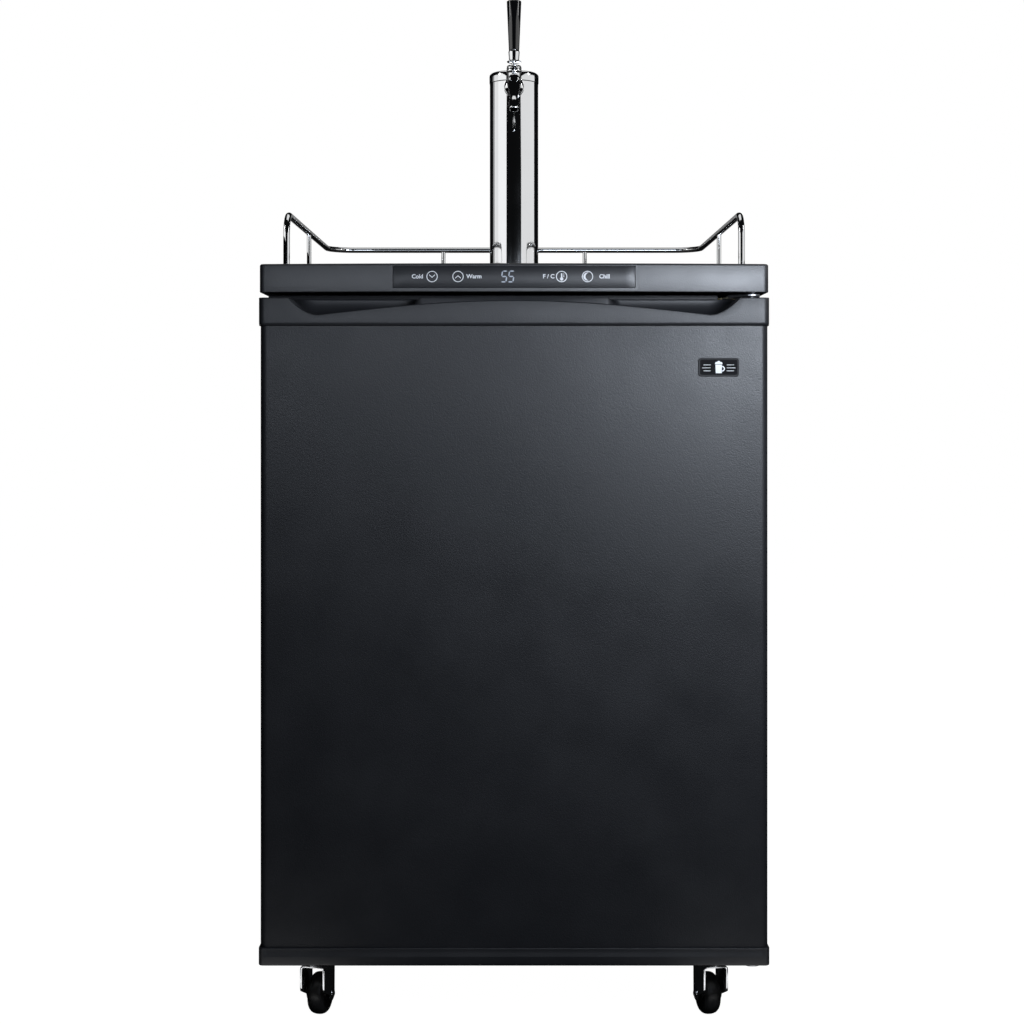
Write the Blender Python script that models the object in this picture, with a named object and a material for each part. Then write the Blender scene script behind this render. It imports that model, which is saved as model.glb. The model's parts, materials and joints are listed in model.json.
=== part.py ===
"""Kegerator: a single-tap draught beer cooler on casters.

Metres, +Z up, +X to the right of someone who faces the door, which is on the -Y side.
The origin is on the floor under the middle of the object.
"""

import math

import bmesh
import bpy
from mathutils import Matrix, Vector

# ---------------------------------------------------------------- driving dimensions
WIDTH = 0.600
DEPTH = 0.640
WORKTOP_HEIGHT = 0.907
TOUCH_GAP = 0.0003  # between pieces that touch
SHEET = 0.001  # steel sheet

# worktop cover
FASCIA_HEIGHT = 0.0335
FASCIA_BOW = 0.012
FASCIA_CORNER = 0.007
COVER_WALL = 0.0035
PANEL_WIDTH = 0.284
PANEL_HEIGHT = 0.0258
PANEL_DROP = 0.0032  # worktop down to the panel's upper edge
PANEL_THICKNESS = 0.002
PANEL_RECESS = 0.0007
BOARD_THICKNESS = 0.0016
BOARD_HEIGHT = 0.020

# cabinet
DOOR_ZONE = 0.0665  # front of the fascia back to the cabinet's front face
CABINET_INSET = 0.0035  # worktop's side edge in to the side panel
WALL_FOAM = 0.040
REAR_FOAM = 0.036
FLOOR_FOAM = 0.055
CEILING_FOAM = 0.040
STEP_FOAM = 0.036
STEP_WALL_FOAM = 0.0225
LINER_WALL = 0.0015
KEG_DEPTH = 0.425  # cabinet's front face back to the step
STEP_HEIGHT = 0.205  # cavity floor up to the step's top
BASE_THICKNESS = 0.003
BASE_FORWARD = 0.0235  # base pan in front of the cabinet's front face
COVER_SETBACK = 0.012  # rear cover in from the back of the cabinet
REAR_FLANGE = 0.015
SLOT_LENGTH = 0.110  # of an air slot in the rear cover
SLOT_HEIGHT = 0.007
SLOT_SPREAD = 0.150
SLOT_MARGIN = 0.035
SLOT_ROWS = 6
KEG_PLATE = 0.002
KEG_PLATE_WIDTH = 0.430

# door
DOOR_TOP_GAP = 0.0065
DOOR_LIFT = 0.0115  # base pan's underside up to the door's lower edge
TOP_TRIM_HEIGHT = 0.033
BOTTOM_TRIM_HEIGHT = 0.0205
TRIM_SETBACK = 0.0035  # trims behind the fascia's front
SKIN_SETBACK = 0.0075  # door skin behind the fascia's front
SKIN_INSET = 0.0025
TRIM_CORNER = 0.008
GASKET_DEPTH = 0.012
GASKET_WIDTH = 0.022
GASKET_INSET = 0.022
HINGE_INSET = 0.018  # door's side edge in to the hinge's axis
HINGE_BACK = 0.030  # fascia's front back to the hinge's axis
HINGE_PIN = 0.004
HINGE_PLATE = 0.003
PIN_CLEARANCE = 0.0005
GRIP_HALF = 0.265
GRIP_DEPTH = 0.020
GRIP_CENTRE_DROP = 0.003
GRIP_MIDDLE = 0.120  # half width of the raised middle between the two pockets
LIP_THICKNESS = 0.0135
POCKET_DEPTH = 0.022
BADGE_SIZE = (0.0478, 0.0012, 0.0219)
BADGE_INSET = 0.0598  # worktop's side edge in to the badge's middle
BADGE_DROP = 0.1218  # worktop down to the badge's middle

# guard rail
RAIL_ROD = 0.004
RAIL_POST = 0.003
RAIL_INSET = 0.025
RAIL_HEIGHT = 0.0655
RAIL_FRONT = 0.067  # fascia's front back to the front legs
RAIL_REAR = 0.081  # cabinet's back forward to the back bar
RAIL_FRONT_BEND = 0.027
RAIL_CORNER_BEND = 0.038
RAIL_FOOT = 0.008
RAIL_BACK_POST = 0.105
RAIL_POST_FORWARD = 0.012  # side posts in front of the rail's middle

# tower and faucet
TOWER_RADIUS = 0.03175
TOWER_WALL = 0.0012
TOWER_HEIGHT = 0.266
TOWER_SETBACK = 0.243
CAP_HEIGHT = 0.0125
CAP_LIP = 0.0005  # cap beyond the column all round
FLANGE_RADIUS = 0.050
FLANGE_THICKNESS = 0.005
LINE_HOLE = 0.020
FAUCET_DROP = 0.023  # tower's top down to the faucet's axis
SHANK_RADIUS = 0.008
COLLAR_RADIUS = 0.0130
COLLAR_THICKNESS = 0.004
NUT_RADIUS = 0.0125
NUT_LENGTH = 0.013
BODY_RADIUS = 0.0085
BODY_LENGTH = 0.048
BODY_BORE = 0.0046
SHAFT_RADIUS = 0.0042
LEVER_SETBACK = 0.024  # faucet's rear end forward to the lever's axis
LEVER_RISE = 0.0125  # faucet's axis up to the lever's pivot
LEVER_TIP = 0.002
LEVER_BALL = 0.0052
LEVER_ROOM = 0.0022  # round the ball, so that the leaning stud stays clear
LEVER_STUD = 0.003
STUD_HEIGHT = 0.0118
SHAFT_TRAVEL = 0.0056
SPOUT_RADIUS = 0.0062
SPOUT_BORE = 0.0038
SPOUT_LENGTH = 0.048
SPOUT_TILT = math.radians(30.0)  # from upright, towards the front
HANDLE_BOTTOM = 0.0392  # faucet's axis up to the handle's lower end
HANDLE_LENGTH = 0.063

# casters
WHEEL_RADIUS = 0.025
WHEEL_TREAD = 0.022
WHEEL_CLEARANCE = 0.0140
FORK_SHEET = 0.0025
FORK_SIDE_GAP = 0.002
FORK_SHOULDER = 0.026  # crown's top down to where the legs run back to the axle
RACE_RADIUS = 0.0125
RACE_HEIGHT = 0.0010
SOCKET_RADIUS = 0.0150
SOCKET_HEIGHT = 0.0035
SWIVEL_GAP = 0.0005
CASTER_TRAIL = 0.020
CASTER_YAW = math.radians(12.0)
AXLE_RADIUS = 0.004
CASTER_SIDE = 0.060  # worktop's side edge in to the swivel's axis
CASTER_FRONT = 0.068  # fascia's front back to the swivel's axis
CASTER_REAR = 0.058

# cooling system
COMPRESSOR_SIZE = (0.150, 0.100, 0.150)
FAN_RADIUS = 0.044
FAN_DEPTH = 0.016
FAN_BLADES = 5
FAN_TIP_CLEARANCE = 0.003
MOTOR_RADIUS = 0.016
MOTOR_LENGTH = 0.020
COMPRESSOR_X = 0.165
SHROUD_X = -0.060
SHROUD_HEIGHT = 0.115
CONDENSER_SIZE = (0.110, 0.090, 0.170)
EVAPORATOR_COVER = (0.300, 0.048, 0.290)
EVAPORATOR_X = 0.075  # the cover's middle, to the right of the gas cylinder
COVER_SHEET = 0.0025
FAN_MOTOR = 0.008
FIN_PITCH = 0.010
FIN_THICKNESS = 0.002

# gas and coupler
CYLINDER_RADIUS = 0.051
CYLINDER_HEADROOM = 0.177  # cylinder's top to the cavity's ceiling
CYLINDER_GAP = 0.003  # cylinder to the cavity's walls
VALVE_RADIUS = 0.012
VALVE_HEIGHT = 0.050
HANDWHEEL_RADIUS = 0.021
REGULATOR_RADIUS = 0.026
GAUGE_RADIUS = 0.020
KNOB_RADIUS = 0.014
COUPLER_RADIUS = 0.029
COUPLER_HEIGHT = 0.062
PROBE_RADIUS = 0.008
PROBE_RISE = 0.034
LEVER_RAISED = 80.0  # degrees, with the coupler off its keg
RUNNING_GAP = 0.0005

# ---------------------------------------------------------------- worked-out levels
FRONT = -DEPTH / 2
BACK = DEPTH / 2
SIDE = WIDTH / 2
CASTER_HEIGHT = (
    2 * WHEEL_RADIUS + WHEEL_CLEARANCE + FORK_SHEET + RACE_HEIGHT + SWIVEL_GAP + SOCKET_HEIGHT
)
COVER_BOTTOM = WORKTOP_HEIGHT - FASCIA_HEIGHT
CABINET_FRONT = FRONT + DOOR_ZONE
CABINET_SIDE = SIDE - CABINET_INSET
CABINET_TOP = COVER_BOTTOM - TOUCH_GAP
CABINET_BASE = CASTER_HEIGHT + BASE_THICKNESS
FOAM_SIDE = CABINET_SIDE - SHEET - TOUCH_GAP
FOAM_BACK = BACK - 2 * SHEET - 2 * TOUCH_GAP
FOAM_FRONT = CABINET_FRONT + SHEET + TOUCH_GAP
FOAM_BASE = CABINET_BASE + TOUCH_GAP
CAVITY_SIDE = FOAM_SIDE - WALL_FOAM - LINER_WALL
CAVITY_FLOOR = FOAM_BASE + FLOOR_FOAM + LINER_WALL
CAVITY_CEILING = CABINET_TOP - CEILING_FOAM - LINER_WALL
CAVITY_BACK = FOAM_BACK - REAR_FOAM - LINER_WALL
STEP_FRONT = CABINET_FRONT + KEG_DEPTH
STEP_TOP = CAVITY_FLOOR + STEP_HEIGHT
BAY_FRONT = STEP_FRONT + LINER_WALL + STEP_WALL_FOAM
BAY_TOP = STEP_TOP - LINER_WALL - STEP_FOAM
CYLINDER_HEIGHT = CAVITY_CEILING - STEP_TOP - CYLINDER_HEADROOM
BAY_BACK = BACK - COVER_SETBACK
BAY_MIDDLE = (BAY_FRONT + BAY_BACK) / 2
DOOR_TOP = COVER_BOTTOM - DOOR_TOP_GAP
DOOR_BOTTOM = CASTER_HEIGHT + DOOR_LIFT
TRIM_FRONT = FRONT + TRIM_SETBACK
SKIN_FRONT = FRONT + SKIN_SETBACK
SKIN_SIDE = SIDE - SKIN_INSET
GASKET_BACK = CABINET_FRONT - TOUCH_GAP
GASKET_FRONT = GASKET_BACK - GASKET_DEPTH
DOOR_LINER_BACK = GASKET_FRONT - TOUCH_GAP
DOOR_LINER_FRONT = DOOR_LINER_BACK - LINER_WALL
DOOR_CORE_BACK = DOOR_LINER_FRONT - TOUCH_GAP
TRIM_FLOOR = DOOR_TOP - TOP_TRIM_HEIGHT
TRIM_CEILING = DOOR_BOTTOM + BOTTOM_TRIM_HEIGHT
HINGE_X = SIDE - HINGE_INSET
HINGE_Y = FRONT + HINGE_BACK
TOWER_Y = FRONT + TOWER_SETBACK
TOWER_TOP = WORKTOP_HEIGHT + TOWER_HEIGHT
FAUCET_Z = TOWER_TOP - FAUCET_DROP
COLUMN_FRONT = TOWER_Y - TOWER_RADIUS - CAP_LIP
FAUCET_REAR = COLUMN_FRONT - COLLAR_THICKNESS - NUT_LENGTH - 3 * TOUCH_GAP
LEVER_Y = FAUCET_REAR - LEVER_SETBACK
LEVER_Z = FAUCET_Z + LEVER_RISE


# ---------------------------------------------------------------- helpers
def finish(name, colour, roughness, metallic=0.0):
    """A Principled material."""
    made = bpy.data.materials.new(name)
    made.use_nodes = True
    shader = made.node_tree.nodes["Principled BSDF"]
    shader.inputs["Base Color"].default_value = (*colour, 1.0)
    shader.inputs["Roughness"].default_value = roughness
    shader.inputs["Metallic"].default_value = metallic
    made.diffuse_color = (*colour, 1.0)
    return made


def add_piece(name, bm, material):
    """An object that holds the bmesh, with its faces turned outwards."""
    bmesh.ops.recalc_face_normals(bm, faces=bm.faces)
    mesh = bpy.data.meshes.new(name)
    bm.to_mesh(mesh)
    bm.free()
    mesh.materials.append(material)
    piece = bpy.data.objects.new(name, mesh)
    bpy.context.scene.collection.objects.link(piece)
    return piece


def block(name, low, high, material, bevel=0.0):
    """A box between two corners, its edges rounded where a bevel is given."""
    low, high = Vector(low), Vector(high)
    bm = bmesh.new()
    bmesh.ops.create_cube(bm, size=1.0)
    bmesh.ops.scale(bm, vec=high - low, verts=bm.verts)
    bmesh.ops.translate(bm, vec=(low + high) / 2, verts=bm.verts)
    if bevel:
        bmesh.ops.bevel(bm, geom=bm.edges[:], offset=bevel, segments=2, profile=0.5, affect="EDGES")
    return add_piece(name, bm, material)


def prism(name, outline, axis, low, high, material):
    """An outline pulled along an axis: (x, y) along Z, (x, z) along Y, or (y, z) along X."""
    places = {
        "X": lambda u, v: (low, u, v),
        "Y": lambda u, v: (u, low, v),
        "Z": lambda u, v: (u, v, low),
    }
    bm = bmesh.new()
    face = bm.faces.new([bm.verts.new(places[axis](u, v)) for u, v in outline])
    pulled = bmesh.ops.extrude_face_region(bm, geom=[face])["geom"]
    step = {"X": (high - low, 0, 0), "Y": (0, high - low, 0), "Z": (0, 0, high - low)}[axis]
    bmesh.ops.translate(bm, vec=step, verts=[v for v in pulled if isinstance(v, bmesh.types.BMVert)])
    return add_piece(name, bm, material)


def direction(axis):
    """The turn that takes +Z to the named direction."""
    return {
        "+Z": Matrix.Identity(3),
        "-Z": Matrix.Rotation(math.pi, 3, "X"),
        "+X": Matrix.Rotation(math.pi / 2, 3, "Y"),
        "-X": Matrix.Rotation(-math.pi / 2, 3, "Y"),
        "+Y": Matrix.Rotation(-math.pi / 2, 3, "X"),
        "-Y": Matrix.Rotation(math.pi / 2, 3, "X"),
    }[axis]


def turned(name, profile, centre, axis, material, steps=24, ring=False):
    """A profile of (radius, height) points turned about an axis. A ring's profile is a closed loop."""
    bm = bmesh.new()
    points = [bm.verts.new((radius, 0.0, height)) for radius, height in profile]
    edges = [bm.edges.new(pair) for pair in zip(points, points[1:])]
    if ring:
        edges.append(bm.edges.new((points[-1], points[0])))
    bmesh.ops.spin(
        bm, geom=points + edges, cent=(0, 0, 0), axis=(0, 0, 1), angle=2 * math.pi, steps=steps
    )
    bmesh.ops.remove_doubles(bm, verts=bm.verts, dist=1e-6)
    turn = direction(axis) @ Matrix.Rotation(math.pi / steps, 3, "Z")
    bmesh.ops.rotate(bm, cent=(0, 0, 0), matrix=turn, verts=bm.verts)
    bmesh.ops.translate(bm, vec=centre, verts=bm.verts)
    piece = add_piece(name, bm, material)
    smooth(piece)
    return piece


def drum(name, radius, length, centre, axis, material, steps=24):
    """A plain cylinder that starts at centre and runs along axis."""
    profile = [(0, 0), (radius, 0), (radius, length), (0, length)]
    return turned(name, profile, centre, axis, material, steps)


def bush(name, outer, inner, length, centre, axis, material, steps=24):
    """A cylinder with a hole right through."""
    profile = [(inner, 0), (outer, 0), (outer, length), (inner, length)]
    return turned(name, profile, centre, axis, material, steps, ring=True)


def rod(name, route, radius, material, resolution=2):
    """A bent rod of round section along a list of points."""
    curve = bpy.data.curves.new(name, "CURVE")
    curve.dimensions = "3D"
    curve.bevel_depth = radius
    curve.bevel_resolution = resolution
    curve.use_fill_caps = True
    spline = curve.splines.new("POLY")
    spline.points.add(len(route) - 1)
    for point, place in zip(spline.points, route):
        point.co = (*place, 1.0)
    guide = bpy.data.objects.new(name + "_guide", curve)
    bpy.context.scene.collection.objects.link(guide)
    bm = bmesh.new()
    bm.from_mesh(guide.to_mesh())
    bpy.data.objects.remove(guide)
    bpy.data.curves.remove(curve)
    bmesh.ops.remove_doubles(bm, verts=bm.verts, dist=1e-6)
    piece = add_piece(name, bm, material)
    smooth(piece)
    return piece


def smooth(piece):
    """Smooth shading with its real corners kept sharp."""
    piece.data.shade_smooth()
    piece.data.set_sharp_from_angle(angle=math.radians(35))


def combine(piece, other, operation):
    """A Boolean that keeps its operand in the scene as a hidden wire shape."""
    other.hide_render = True
    other.display_type = "WIRE"
    made = piece.modifiers.new(f"{operation.lower()}_{other.name}", "BOOLEAN")
    made.operation = operation
    made.solver = "EXACT"
    made.object = other
    return piece


def carve(piece, *cutters):
    """Takes the cutters away from the piece."""
    for cutter in cutters:
        combine(piece, cutter, "DIFFERENCE")
    return piece


def fuse(piece, *others):
    """Joins the others to the piece as one solid."""
    for other in others:
        combine(piece, other, "UNION")
    return piece


def hub(name, place, yaw=0.0):
    """An empty on a joint's axis, which carries what turns there."""
    made = bpy.data.objects.new(name, None)
    made.location = place
    made.rotation_euler = (0, 0, yaw)
    made.empty_display_size = 0.03
    bpy.context.scene.collection.objects.link(made)
    return made


def carry(parent, *pieces):
    """Parents pieces that are modelled in world places to an unturned empty, with their hidden operands."""
    for piece in pieces:
        for part in [piece] + [m.object for m in piece.modifiers]:
            part.parent = parent
            part.location = part.location - parent.location


def centre_on(piece, place):
    """Moves a piece's origin to a place and leaves its shape where it is."""
    piece.data.transform(Matrix.Translation(-Vector(place)))
    piece.location = place
    return piece


def arc(centre, radius, start, end, steps):
    """Points on a circular arc, angles in degrees."""
    return [
        (
            centre[0] + radius * math.cos(math.radians(start + (end - start) * i / steps)),
            centre[1] + radius * math.sin(math.radians(start + (end - start) * i / steps)),
        )
        for i in range(steps + 1)
    ]


def bowed_front(x, bow=FASCIA_BOW):
    """How far the fascia's face lies behind its most forward point."""
    return bow * (x / SIDE) ** 2


# ---------------------------------------------------------------- finishes
BLACK_PAINT = finish("black_paint", (0.022, 0.023, 0.026), 0.45)
BLACK_PLASTIC = finish("black_plastic", (0.018, 0.018, 0.020), 0.40)
PANEL_PLASTIC = finish("panel_plastic", (0.028, 0.029, 0.032), 0.35)
CHROME = finish("chrome", (0.80, 0.81, 0.83), 0.06, 1.0)
HANDLE_GLOSS = finish("handle_gloss", (0.010, 0.010, 0.011), 0.12)
ZINC = finish("zinc_steel", (0.55, 0.56, 0.58), 0.38, 1.0)
STEEL = finish("stainless_steel", (0.62, 0.62, 0.63), 0.28, 1.0)
WHITE_LINER = finish("white_liner", (0.82, 0.83, 0.84), 0.35)
FOAM = finish("foam", (0.78, 0.72, 0.50), 0.90)
GASKET = finish("gasket_rubber", (0.035, 0.035, 0.036), 0.60)
TYRE = finish("wheel_rubber", (0.016, 0.016, 0.017), 0.42)
ALUMINIUM = finish("aluminium", (0.70, 0.71, 0.72), 0.35, 1.0)
COPPER = finish("copper_coil", (0.72, 0.40, 0.25), 0.35, 1.0)
BRASS = finish("brass", (0.72, 0.55, 0.25), 0.30, 1.0)
BOARD = finish("circuit_board", (0.02, 0.16, 0.06), 0.50)


# ---------------------------------------------------------------- cabinet
def cavity_outline(grow=0.0, front=CABINET_FRONT):
    """The cavity's side view as (y, z), with the step over the compressor, grown outwards by a wall."""
    return [
        (front, CAVITY_FLOOR - grow),
        (STEP_FRONT + grow, CAVITY_FLOOR - grow),
        (STEP_FRONT + grow, STEP_TOP - grow),
        (CAVITY_BACK + grow, STEP_TOP - grow),
        (CAVITY_BACK + grow, CAVITY_CEILING + grow),
        (front, CAVITY_CEILING + grow),
    ]


def cavity_cutter(name, grow, front):
    """A prism of the cavity that also runs out through its mouth."""
    half = CAVITY_SIDE + grow
    return prism(name, cavity_outline(grow, front), "X", -half, half, FOAM)


def line_hole(name, radius=LINE_HOLE):
    """The way that the beer line takes from the cavity up into the tower."""
    start = CAVITY_CEILING - 0.010
    length = WORKTOP_HEIGHT + 0.010 - start
    return drum(name, radius, length, (0, TOWER_Y, start), "+Z", FOAM)


def hinge_pocket(name):
    """Room for the top hinge's plate in the cabinet's front corner."""
    low = (HINGE_X - 0.036, CABINET_FRONT - 0.010, CABINET_TOP - 0.0052)
    high = (CABINET_SIDE - SHEET, CABINET_FRONT + 0.044, CABINET_TOP + 0.010)
    return block(name, low, high, FOAM)


def side_panel(name, side):
    """A flat steel sheet with a flange turned in over the back."""
    outer = CABINET_SIDE * side
    inner = (CABINET_SIDE - SHEET) * side
    flange = (CABINET_SIDE - REAR_FLANGE) * side
    outline = [
        (outer, CABINET_FRONT),
        (outer, BACK),
        (flange, BACK),
        (flange, BACK - SHEET),
        (inner, BACK - SHEET),
        (inner, CABINET_FRONT),
    ]
    return prism(name, outline, "Z", CASTER_HEIGHT, CABINET_TOP, BLACK_PAINT)


def front_frame():
    """The painted steel ring that the gasket seals on."""
    low = (-FOAM_SIDE, CABINET_FRONT, FOAM_BASE)
    frame = block("front_frame", low, (FOAM_SIDE, CABINET_FRONT + SHEET, CABINET_TOP), BLACK_PAINT)
    mouth = cavity_cutter("frame_mouth", LINER_WALL + TOUCH_GAP, CABINET_FRONT - 0.010)
    return carve(frame, mouth, hinge_pocket("frame_notch"))


def foam_insulation():
    """The foamed block between the panels and the liner, stepped up over the compressor's bay."""
    outline = [
        (FOAM_FRONT, FOAM_BASE),
        (BAY_FRONT, FOAM_BASE),
        (BAY_FRONT, BAY_TOP),
        (FOAM_BACK, BAY_TOP),
        (FOAM_BACK, CABINET_TOP),
        (FOAM_FRONT, CABINET_TOP),
    ]
    foam = prism("foam_insulation", outline, "X", -FOAM_SIDE, FOAM_SIDE, FOAM)
    hollow = cavity_cutter("foam_hollow", LINER_WALL + TOUCH_GAP, CABINET_FRONT - 0.010)
    return carve(foam, hollow, line_hole("foam_line_hole"), hinge_pocket("foam_notch"))


def inner_liner():
    """The moulded box that lines the cavity, open at the front."""
    half = CAVITY_SIDE + LINER_WALL
    liner = prism("inner_liner", cavity_outline(LINER_WALL), "X", -half, half, WHITE_LINER)
    hollow = cavity_cutter("liner_hollow", 0.0, CABINET_FRONT - 0.010)
    return carve(liner, hollow, line_hole("liner_line_hole"))


def back_panel():
    """The galvanised sheet behind the foam."""
    low = (-FOAM_SIDE, FOAM_BACK + TOUCH_GAP, BAY_TOP)
    high = (FOAM_SIDE, FOAM_BACK + TOUCH_GAP + SHEET, CABINET_TOP)
    return block("back_panel", low, high, ZINC)


def swivel_places():
    """Name, swivel axis and yaw of each caster."""
    for row, y, turn in (("front", FRONT + CASTER_FRONT, 1), ("rear", BACK - CASTER_REAR, -1)):
        for side_name, side in (("left", -1), ("right", 1)):
            yield f"{row}_{side_name}", side * (SIDE - CASTER_SIDE), y, side * turn * CASTER_YAW


def base_pan():
    """The steel base that carries the cabinet, the compressor and the four caster sockets."""
    low = (-FOAM_SIDE, CABINET_FRONT - BASE_FORWARD, CASTER_HEIGHT)
    pan = block("base_pan", low, (FOAM_SIDE, FOAM_BACK, CABINET_BASE), ZINC)
    for name, x, y, _ in swivel_places():
        start = (x, y, CASTER_HEIGHT - SOCKET_HEIGHT)
        length = SOCKET_HEIGHT + BASE_THICKNESS / 2
        fuse(pan, drum(f"socket_{name}", SOCKET_RADIUS, length, start, "+Z", ZINC))
    return pan


def rear_cover():
    """The pressed cover over the compressor's bay, with rows of air slots."""
    low = (-FOAM_SIDE, BAY_BACK, CABINET_BASE + TOUCH_GAP)
    high = (FOAM_SIDE, BAY_BACK + 2 * SHEET, BAY_TOP - TOUCH_GAP)
    cover = block("rear_cover", low, high, BLACK_PAINT)
    pitch = (high[2] - low[2] - 2 * SLOT_MARGIN) / (SLOT_ROWS - 1)
    for column in (-1, 0, 1):
        for row in range(SLOT_ROWS):
            x = column * SLOT_SPREAD
            z = low[2] + SLOT_MARGIN + row * pitch
            start = (x - SLOT_LENGTH / 2, BAY_BACK - 0.005, z - SLOT_HEIGHT / 2)
            end = (x + SLOT_LENGTH / 2, BAY_BACK + 0.010, z + SLOT_HEIGHT / 2)
            carve(cover, block(f"slot_{column + 1}_{row}", start, end, BLACK_PAINT))
    hole = drum("inlet_hole", 0.0085, 0.020, inlet_place(-0.010), "+Y", BLACK_PAINT, 16)
    return carve(cover, hole)


def inlet_place(behind=0.0):
    """Where the mains lead enters, low at the cover's left."""
    return (-FOAM_SIDE + 0.030, BAY_BACK + behind, CABINET_BASE + 0.018)


def cord_inlet():
    """The bush that the mains lead passes through."""
    profile = [
        (0.0045, -0.004),
        (0.0080, -0.004),
        (0.0080, 2 * SHEET + TOUCH_GAP),
        (0.0110, 2 * SHEET + TOUCH_GAP),
        (0.0100, 0.0085),
        (0.0045, 0.0085),
    ]
    return turned("cord_inlet", profile, inlet_place(), "+Y", BLACK_PLASTIC, 16, ring=True)


def keg_plate():
    """The stainless plate that spreads the keg's weight over the floor."""
    gap = 0.008
    low = (-KEG_PLATE_WIDTH / 2, CABINET_FRONT + gap, CAVITY_FLOOR + TOUCH_GAP)
    high = (KEG_PLATE_WIDTH / 2, STEP_FRONT - gap, CAVITY_FLOOR + TOUCH_GAP + KEG_PLATE)
    return block("keg_plate", low, high, STEEL)


# ---------------------------------------------------------------- worktop
def bowed_outline(half, setback, back_y, corner, steps=12):
    """A plan view whose front edge follows the fascia's bow, with rounded front corners."""
    count = range(steps + 1)
    inner = half - corner
    front = [inner - 2 * inner * i / steps for i in count]
    edge = [(x, FRONT + setback + bowed_front(x)) for x in front]
    end_y = FRONT + setback + bowed_front(inner) + corner
    right = arc((inner, end_y), corner, 0, -90, 3)[:-1]
    left = arc((-inner, end_y), corner, -90, -180, 3)[1:]
    return right + edge + left + [(-half, back_y), (half, back_y)]


def panel_slab(name, grow, setback, back, material):
    """A curved slab that follows the fascia, for the control panel and for its seat."""
    half = PANEL_WIDTH / 2 + grow
    count = 8
    xs = [half - 2 * half * i / count for i in range(count + 1)]
    front = [(x, FRONT + setback + bowed_front(x)) for x in xs]
    rear = [(x, FRONT + back + bowed_front(x)) for x in reversed(xs)]
    top = WORKTOP_HEIGHT - PANEL_DROP + grow
    return prism(name, front + rear, "Z", top - PANEL_HEIGHT - 2 * grow, top, material)


def top_cover():
    """The moulded worktop with its fascia, hollow underneath."""
    outline = bowed_outline(SIDE, 0.0, BACK - 0.0005, FASCIA_CORNER)
    cover = prism("top_cover", outline, "Z", COVER_BOTTOM, WORKTOP_HEIGHT, BLACK_PLASTIC)
    inner = SIDE - COVER_WALL
    low = (-inner, FRONT + FASCIA_BOW + COVER_WALL, COVER_BOTTOM - 0.010)
    high = (inner, BACK - 2 * COVER_WALL, WORKTOP_HEIGHT - COVER_WALL)
    seat_depth = PANEL_RECESS + PANEL_THICKNESS + TOUCH_GAP
    seat = panel_slab("panel_seat", TOUCH_GAP, -0.010, seat_depth, BLACK_PLASTIC)
    return carve(cover, block("cover_hollow", low, high, FOAM), seat, line_hole("cover_line_hole"))


def control_panel():
    """The touch panel, a little behind the fascia's face."""
    rear = PANEL_RECESS + PANEL_THICKNESS
    return panel_slab("control_panel", 0.0, PANEL_RECESS, rear, PANEL_PLASTIC)


def control_board():
    """The circuit board inside the fascia."""
    front = FRONT + FASCIA_BOW + COVER_WALL + TOUCH_GAP
    half = 0.42 * PANEL_WIDTH
    top = WORKTOP_HEIGHT - COVER_WALL - 0.003
    low = (-half, front, top - BOARD_HEIGHT)
    return block("control_board", low, (half, front + BOARD_THICKNESS, top), BOARD)


def rail_route():
    """Half of the rail, from its left foot up, back along the side and round to the middle of the back."""
    x = -SIDE + RAIL_INSET
    front_y = FRONT + RAIL_FRONT
    back_y = BACK - RAIL_REAR
    top = WORKTOP_HEIGHT + RAIL_HEIGHT
    bend = RAIL_FRONT_BEND
    corner = RAIL_CORNER_BEND
    route = [(x, front_y, WORKTOP_HEIGHT + TOUCH_GAP)]
    route += [(x, y, z) for y, z in arc((front_y + bend, top - bend), bend, 180, 90, 5)]
    plan = arc((x + corner, back_y - corner), corner, 180, 90, 6)
    return route + [(px, py, top) for px, py in plan]


def guard_rail():
    """One bent rod round three sides of the worktop, on its own two ends and four thin posts."""
    half = rail_route()
    whole = half + [(-x, y, z) for x, y, z in reversed(half)]
    rail = rod("guard_rail", whole, RAIL_ROD, CHROME, resolution=2)
    x = SIDE - RAIL_INSET
    middle_y = (FRONT + RAIL_FRONT + BACK - RAIL_REAR) / 2 - RAIL_POST_FORWARD
    places = [
        (-x, middle_y),
        (x, middle_y),
        (-RAIL_BACK_POST, BACK - RAIL_REAR),
        (RAIL_BACK_POST, BACK - RAIL_REAR),
    ]
    start = WORKTOP_HEIGHT + TOUCH_GAP
    for index, (px, py) in enumerate(places):
        post = drum(f"post_{index}", RAIL_POST, RAIL_HEIGHT, (px, py, start), "+Z", CHROME, 8)
        fuse(rail, post)
    places += [(-x, FRONT + RAIL_FRONT), (x, FRONT + RAIL_FRONT)]
    for index, (px, py) in enumerate(places):
        foot = drum(f"foot_{index}", RAIL_FOOT, 0.003, (px, py, start), "+Z", CHROME, 12)
        fuse(rail, foot)
    return rail


# ---------------------------------------------------------------- tower and faucet
def tower_flange():
    """The round foot that the column stands on, with a spigot inside the column."""
    spigot = TOWER_RADIUS - TOWER_WALL - TOUCH_GAP
    profile = [
        (LINE_HOLE, TOUCH_GAP),
        (FLANGE_RADIUS, TOUCH_GAP),
        (FLANGE_RADIUS, FLANGE_THICKNESS - 0.0015),
        (FLANGE_RADIUS - 0.0015, FLANGE_THICKNESS),
        (spigot, FLANGE_THICKNESS),
        (spigot, FLANGE_THICKNESS + 0.015),
        (LINE_HOLE, FLANGE_THICKNESS + 0.015),
    ]
    centre = (0, TOWER_Y, WORKTOP_HEIGHT)
    return turned("tower_flange", profile, centre, "+Z", CHROME, 32, ring=True)


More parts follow.
